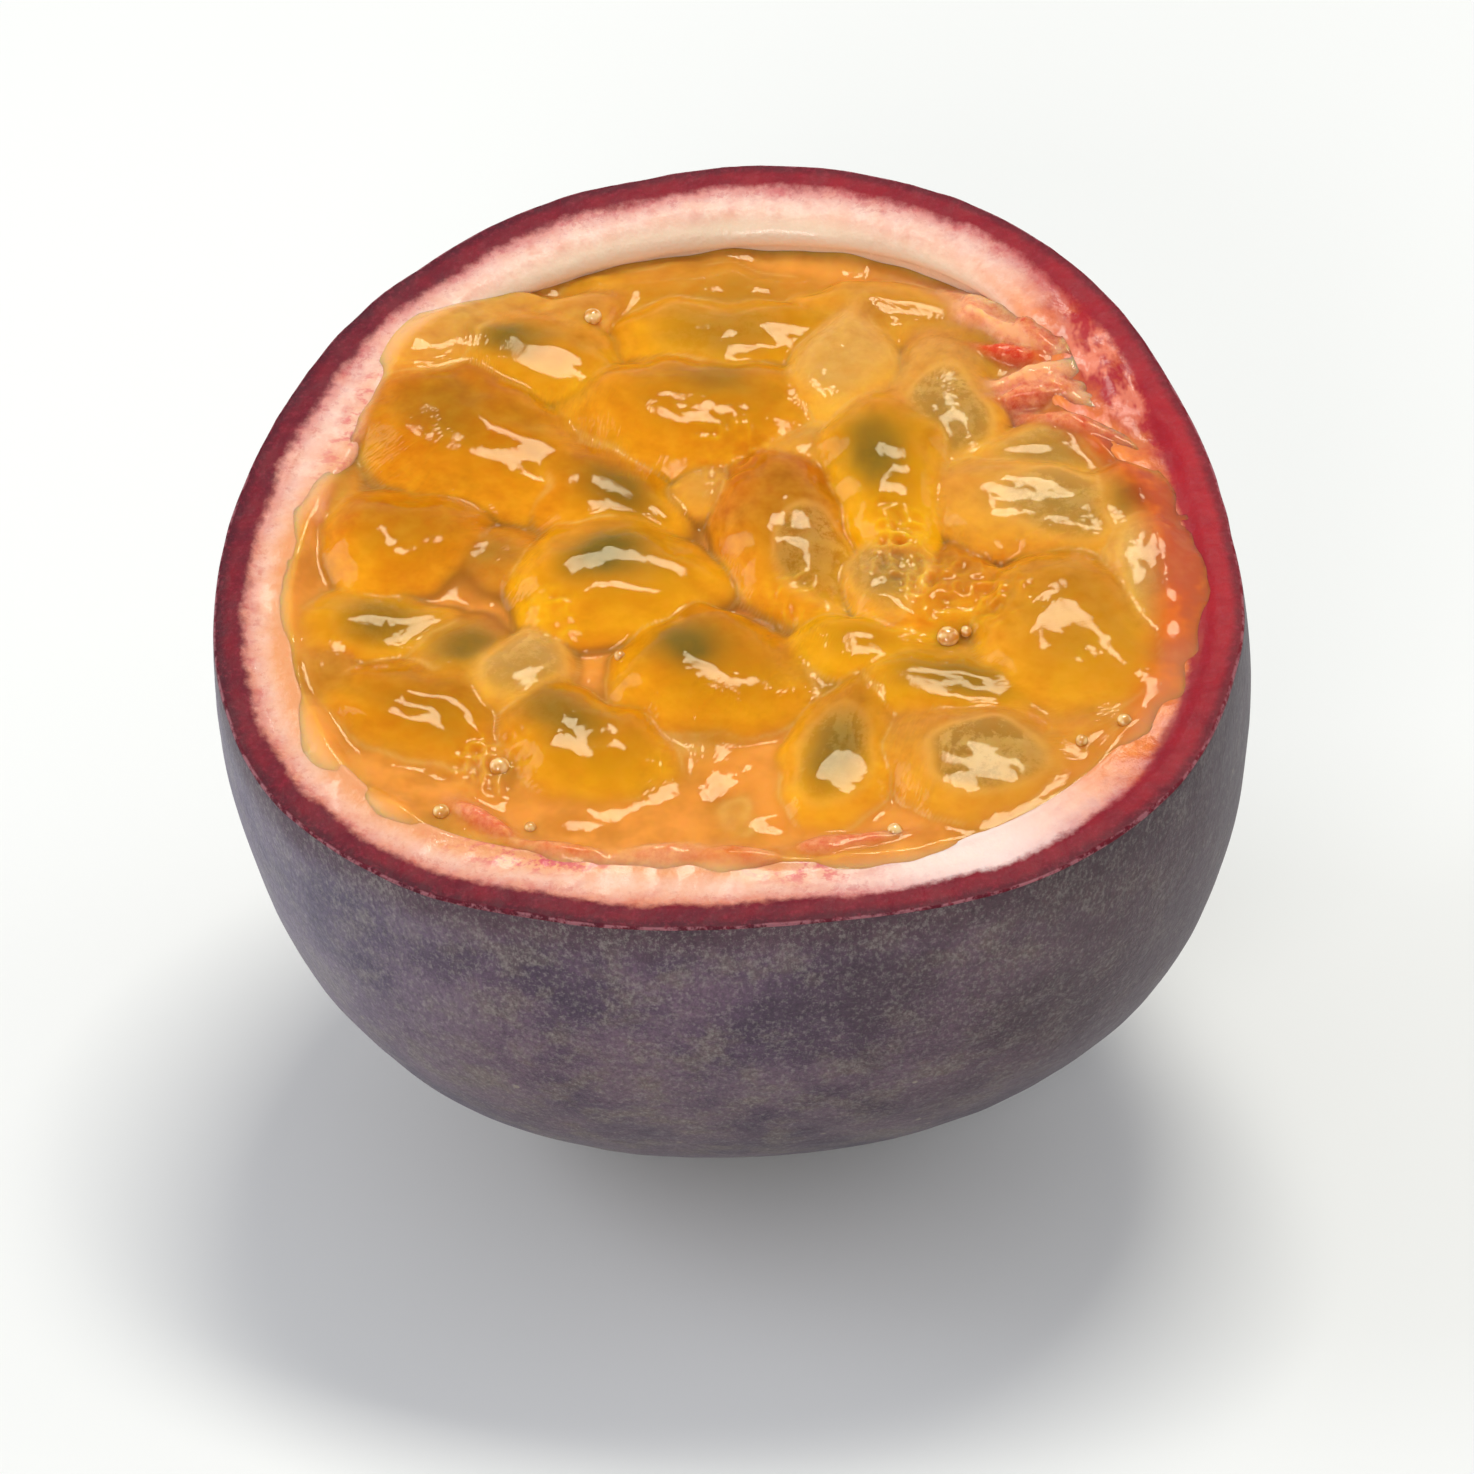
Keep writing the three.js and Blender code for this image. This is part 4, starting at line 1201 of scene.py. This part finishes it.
def pulp_parts():
    """The pulp as one closed skin: its top over a folded square grid, then rows down the cavity to a pole.
    Returns its points, quads, triangles and what its material reads at each point."""
    reach, angle, number, rim = disc_grid(PULP_GRID)
    radius = reach * (inner_radius(angle, WALL_LEVEL) + lap_width(angle))
    x, y = (radius * np.cos(angle)).ravel(), (radius * np.sin(angle)).ravel()
    height, values = pulp_surface(x, y)
    top = np.stack([x, y, height], axis=-1)
    _, half_length, equator_depth, _, end = sizes()
    deepest = end + 0.6 - equator_depth - half_length
    levels = np.concatenate([[-3.0, -5.0], np.linspace(-8, deepest, 10)])[:, None]
    rim_angle = angle.ravel()[rim][None, :]
    inside_wall = np.maximum(inner_radius(rim_angle, levels) - 0.3, 0.05)
    below = on_circle(inside_wall, rim_angle, levels).reshape(-1, 3)
    points = np.concatenate([top, below, [[0, 0, deepest - 0.2]]])
    corners = [number[:-1, :-1], number[:-1, 1:], number[1:, 1:], number[1:, :-1]]
    square = np.stack(corners, axis=-1).reshape(-1, 4)
    lower_rings = len(top) + np.arange(len(below)).reshape(len(levels), len(rim))
    ring = np.concatenate([rim[None, :], lower_rings])
    ahead = np.roll(ring, -1, axis=1)
    sides = np.stack([ring[:-1], ring[1:], ahead[1:], ahead[:-1]], axis=-1).reshape(-1, 4)
    pole = np.full(len(rim), len(points) - 1)
    fan = np.stack([ring[-1], pole, ahead[-1]], axis=-1)
    for title, value in values.items():
        hidden = HIDDEN_TONE if title == "tone" else 0.0
        values[title] = np.concatenate([value, np.full(len(below) + 1, hidden)])
    return points, np.concatenate([square, sides]), fan, values


def oval(size, around, rows):
    """A pointed oval: a sphere's grid stretched to size, drawn in towards +X by a twelfth of its width,
    with shallow pits from two sizes of noise. Returns its points, with its two ends last, its quads and
    its triangles."""
    length, width, thickness = [span / 2 for span in size]
    polar = np.linspace(0, math.pi, rows + 2)[1:-1][:, None]
    turn = np.linspace(0, 2 * math.pi, around, endpoint=False)[None, :]
    along = -np.cos(polar)
    slim = (1 - 0.08 * along) * np.sin(polar)
    sides = [along * length, slim * np.cos(turn) * width, slim * np.sin(turn) * thickness]
    points = np.stack(np.broadcast_arrays(*sides), axis=-1)
    depth = 0.07 * noise(points + 40, 0.55, 21) + 0.03 * noise(points + 40, 0.3, 22)
    points = points * (1 + depth[..., None] * 0.6)
    ends = [[-length, 0, 0], [length, 0, 0]]
    quads, fans = closed_faces(rows, around)
    return np.concatenate([points.reshape(-1, 3), ends]), quads, fans


class FRUIT_OT_rind(bpy.types.Operator):
    """Skin, crimson layer, pith and inner wall as one closed bowl"""

    bl_idname = "fruit.rind"
    bl_label = "Rind"

    def execute(self, context):
        angle = np.linspace(0, 2 * math.pi, RIND_AROUND, endpoint=False)
        rows, values, outside = rind_rows(angle)
        quads, fans = closed_faces(len(rows), RIND_AROUND)
        poles = np.array([rows[0].mean(axis=0), rows[-1].mean(axis=0)])
        points = place(np.concatenate([rows.reshape(-1, 3), poles]))
        for title, value in values.items():
            values[title] = np.concatenate([value.ravel(), value[[0, -1], 0]])
        rind = mesh_piece("rind_flesh", points, quads, fans, values)
        rind.data.materials.append(skin_material())
        rind.data.materials.append(cut_material())
        cut_quads = np.arange(len(quads)) // RIND_AROUND >= outside - 1
        cut_fans = np.repeat([False, True], RIND_AROUND)
        material_numbers = np.concatenate([cut_quads, cut_fans]).astype(np.int32)
        rind.data.polygons.foreach_set("material_index", material_numbers)
        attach(rind, "root")
        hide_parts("rind")
        return {"FINISHED"}


class FRUIT_OT_pulp(bpy.types.Operator):
    """Sacs, juice and torn flesh as one closed body of wet gel"""

    bl_idname = "fruit.pulp"
    bl_label = "Pulp"

    def execute(self, context):
        points, quads, fan, values = pulp_parts()
        pulp = mesh_piece("pulp_sacs", place(points), quads, fan, values)
        pulp.data.materials.append(pulp_material())
        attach(pulp, "root")
        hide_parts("pulp")
        return {"FINISHED"}


class FRUIT_OT_bubbles(bpy.types.Operator):
    """Small air bubbles in the juice, half sunk in it"""

    bl_idname = "fruit.bubbles"
    bl_label = "Bubbles"

    def execute(self, context):
        material = bubble_material()
        for i, (x, y, radius) in enumerate(BUBBLES):
            height, _ = pulp_surface(np.array([x]), np.array([y]))
            points, quads, fans = oval((2 * radius, 2 * radius, 1.7 * radius), *BUBBLE_GRID)
            points = place(points + np.array([x, y, height[0] + 0.15 * radius]))
            bubble = mesh_piece(f"bubble_{i + 1:02d}", points, quads, fans, {})
            bubble.data.materials.append(material)
            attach(bubble, "root")
        return {"FINISHED"}


class FRUIT_OT_seeds(bpy.types.Operator):
    """The hard seeds inside the sacs that show"""

    bl_idname = "fruit.seeds"
    bl_label = "Seeds"

    def execute(self, context):
        material = seed_material()
        kernel, quads, fans = oval(SEED_SIZE, *SEED_GRID)
        for i, number in enumerate(SEEDED):
            turn = math.radians(SACS[number][2])
            cosine, sine = math.cos(turn), math.sin(turn)
            about_z = np.array([[cosine, -sine, 0], [sine, cosine, 0], [0, 0, 1]])
            points = place(kernel @ about_z.T)
            name = f"seed_{i + 1:02d}"
            middle = (points.min(axis=0) + points.max(axis=0)) / 2
            points = points - middle + np.mean(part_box(name), axis=0)
            seed = mesh_piece(name + "_kernel", points, quads, fans, {})
            seed.data.materials.append(material)
            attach(seed, "root")
            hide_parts(name)
        return {"FINISHED"}


class FRUIT_OT_scar(bpy.types.Operator):
    """The dry scar in the dimple where the stem let go"""

    bl_idname = "fruit.scar"
    bl_label = "Stem scar"

    def execute(self, context):
        _, half_length, equator_depth, _, _ = sizes()
        floor = -equator_depth - half_length + DIMPLE_DEPTH
        angle = np.linspace(0, 2 * math.pi, SCAR_AROUND, endpoint=False)[None, :]
        reach = np.concatenate([np.linspace(0.05, 1, 22), [1.02, 0.98, 0.9, 0.6, 0.2]])[:, None]
        drop = np.concatenate([np.zeros(21), [0.1, 0.3, 0.7, 1.1, 1.15, 1.2]])[:, None]
        raised = 0.16 * bell(reach - 0.86, 0.12) + 0.10 * bell(reach, 0.25)
        points = on_circle(SCAR_RADIUS * reach, angle, 0.0)
        rough = 0.05 * noise(points, 0.3, 31) + 0.08 * noise(points, 0.8, 32)
        wave = 1 + 0.04 * np.cos(5 * angle) + 0.03 * np.cos(9 * angle + 1)
        height = floor - SCAR_PROUD * 0.7 - raised + drop - rough
        points = on_circle(SCAR_RADIUS * reach * wave, angle, height)
        poles = np.array([points[0].mean(axis=0), points[-1].mean(axis=0)])
        quads, fans = closed_faces(*points.shape[:2])
        points = place(np.concatenate([points.reshape(-1, 3), poles]))
        scar = mesh_piece("stem_scar_wood", points, quads, fans, {})
        scar.data.materials.append(scar_material())
        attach(scar, "root")
        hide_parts("stem_scar")
        return {"FINISHED"}


def stage_object(name, data, at, target):
    """A lamp or camera in the scene, at one place and facing another."""
    thing = bpy.data.objects.new(name, data)
    thing.location = at
    thing.rotation_mode = "QUATERNION"
    thing.rotation_quaternion = (Vector(target) - Vector(at)).to_track_quat("-Z", "Y")
    bpy.context.scene.collection.objects.link(thing)
    return thing


def softbox(name, at, width, height, power, colour):
    """A rectangular area light that faces the fruit."""
    light = bpy.data.lights.new(name, "AREA")
    light.shape = "RECTANGLE"
    light.size, light.size_y = width, height
    light.energy = power
    light.color = colour
    stage_object(name, light, at, LIT_SPOT)


class FRUIT_OT_stage(bpy.types.Operator):
    """Pale floor, soft lights and the camera at the photograph's angle"""

    bl_idname = "fruit.stage"
    bl_label = "Stage"

    def execute(self, context):
        scene = context.scene
        look = scene.stage_look
        side = FLOOR_REACH
        mesh = bpy.data.meshes.new("floor")
        corners = [(-side, -side, 0), (side, -side, 0), (side, side, 0), (-side, side, 0)]
        mesh.from_pydata(corners, [], [(0, 1, 2, 3)])
        floor = bpy.data.objects.new("floor", mesh)
        scene.collection.objects.link(floor)
        surface = Surface("pale_floor", roughness=0.6, specular_ior_level=0.2)
        darker = [value * 0.98 for value in look.floor]
        colour = surface.mix(surface.noise(60.0), look.floor, darker)
        floor.data.materials.append(surface.finish(base_color=colour))
        world = bpy.data.worlds.new("studio")
        world.use_nodes = True
        sky = world.node_tree.nodes["Background"].inputs
        sky["Color"].default_value = SKY_COLOUR
        sky["Strength"].default_value = SKY_STRENGTH
        scene.world = world
        for light in LIGHTS:
            softbox(*light)
        camera = bpy.data.cameras.new("camera")
        camera.lens = camera.sensor_width * look.distance / look.frame_width
        camera.clip_start, camera.clip_end = 0.01, 20
        x, y, z = SEEN_SPOT
        back = look.distance * math.cos(look.elevation)
        up = look.distance * math.sin(look.elevation)
        scene.camera = stage_object("camera", camera, (x, y - back, z + up), SEEN_SPOT)
        scene.view_settings.view_transform = "Standard"
        return {"FINISHED"}


class VIEW3D_PT_passion_fruit(bpy.types.Panel):
    """Lists the sizes, the colours and the pieces"""

    bl_label = "Passion Fruit"
    bl_space_type = "VIEW_3D"
    bl_region_type = "UI"
    bl_category = "Passion Fruit"

    def draw(self, context):
        for group in PROPERTIES:
            column = self.layout.column()
            settings = getattr(context.scene, group)
            for title in settings.bl_rna.properties.keys():
                if title not in {"rna_type", "name"}:
                    column.prop(settings, title)
        for operator in OPERATORS:
            self.layout.operator(operator.bl_idname)


PROPERTIES = {
    "fruit_shape": FruitShape,
    "rind_look": RindLook,
    "pulp_look": PulpLook,
    "stage_look": StageLook,
}
OPERATORS = [FRUIT_OT_rind, FRUIT_OT_pulp, FRUIT_OT_bubbles, FRUIT_OT_seeds, FRUIT_OT_scar, FRUIT_OT_stage]


def register():
    for group, kind in PROPERTIES.items():
        bpy.utils.register_class(kind)
        setattr(bpy.types.Scene, group, bpy.props.PointerProperty(type=kind))
    for kind in [*OPERATORS, VIEW3D_PT_passion_fruit]:
        bpy.utils.register_class(kind)


def unregister():
    for kind in [VIEW3D_PT_passion_fruit, *reversed(OPERATORS)]:
        bpy.utils.unregister_class(kind)
    for group, kind in PROPERTIES.items():
        delattr(bpy.types.Scene, group)
        bpy.utils.unregister_class(kind)


def main():
    register()
    bpy.ops.fruit.rind()
    bpy.ops.fruit.pulp()
    bpy.ops.fruit.bubbles()
    bpy.ops.fruit.seeds()
    bpy.ops.fruit.scar()
    bpy.ops.fruit.stage()


if __name__ == "__main__":
    main()
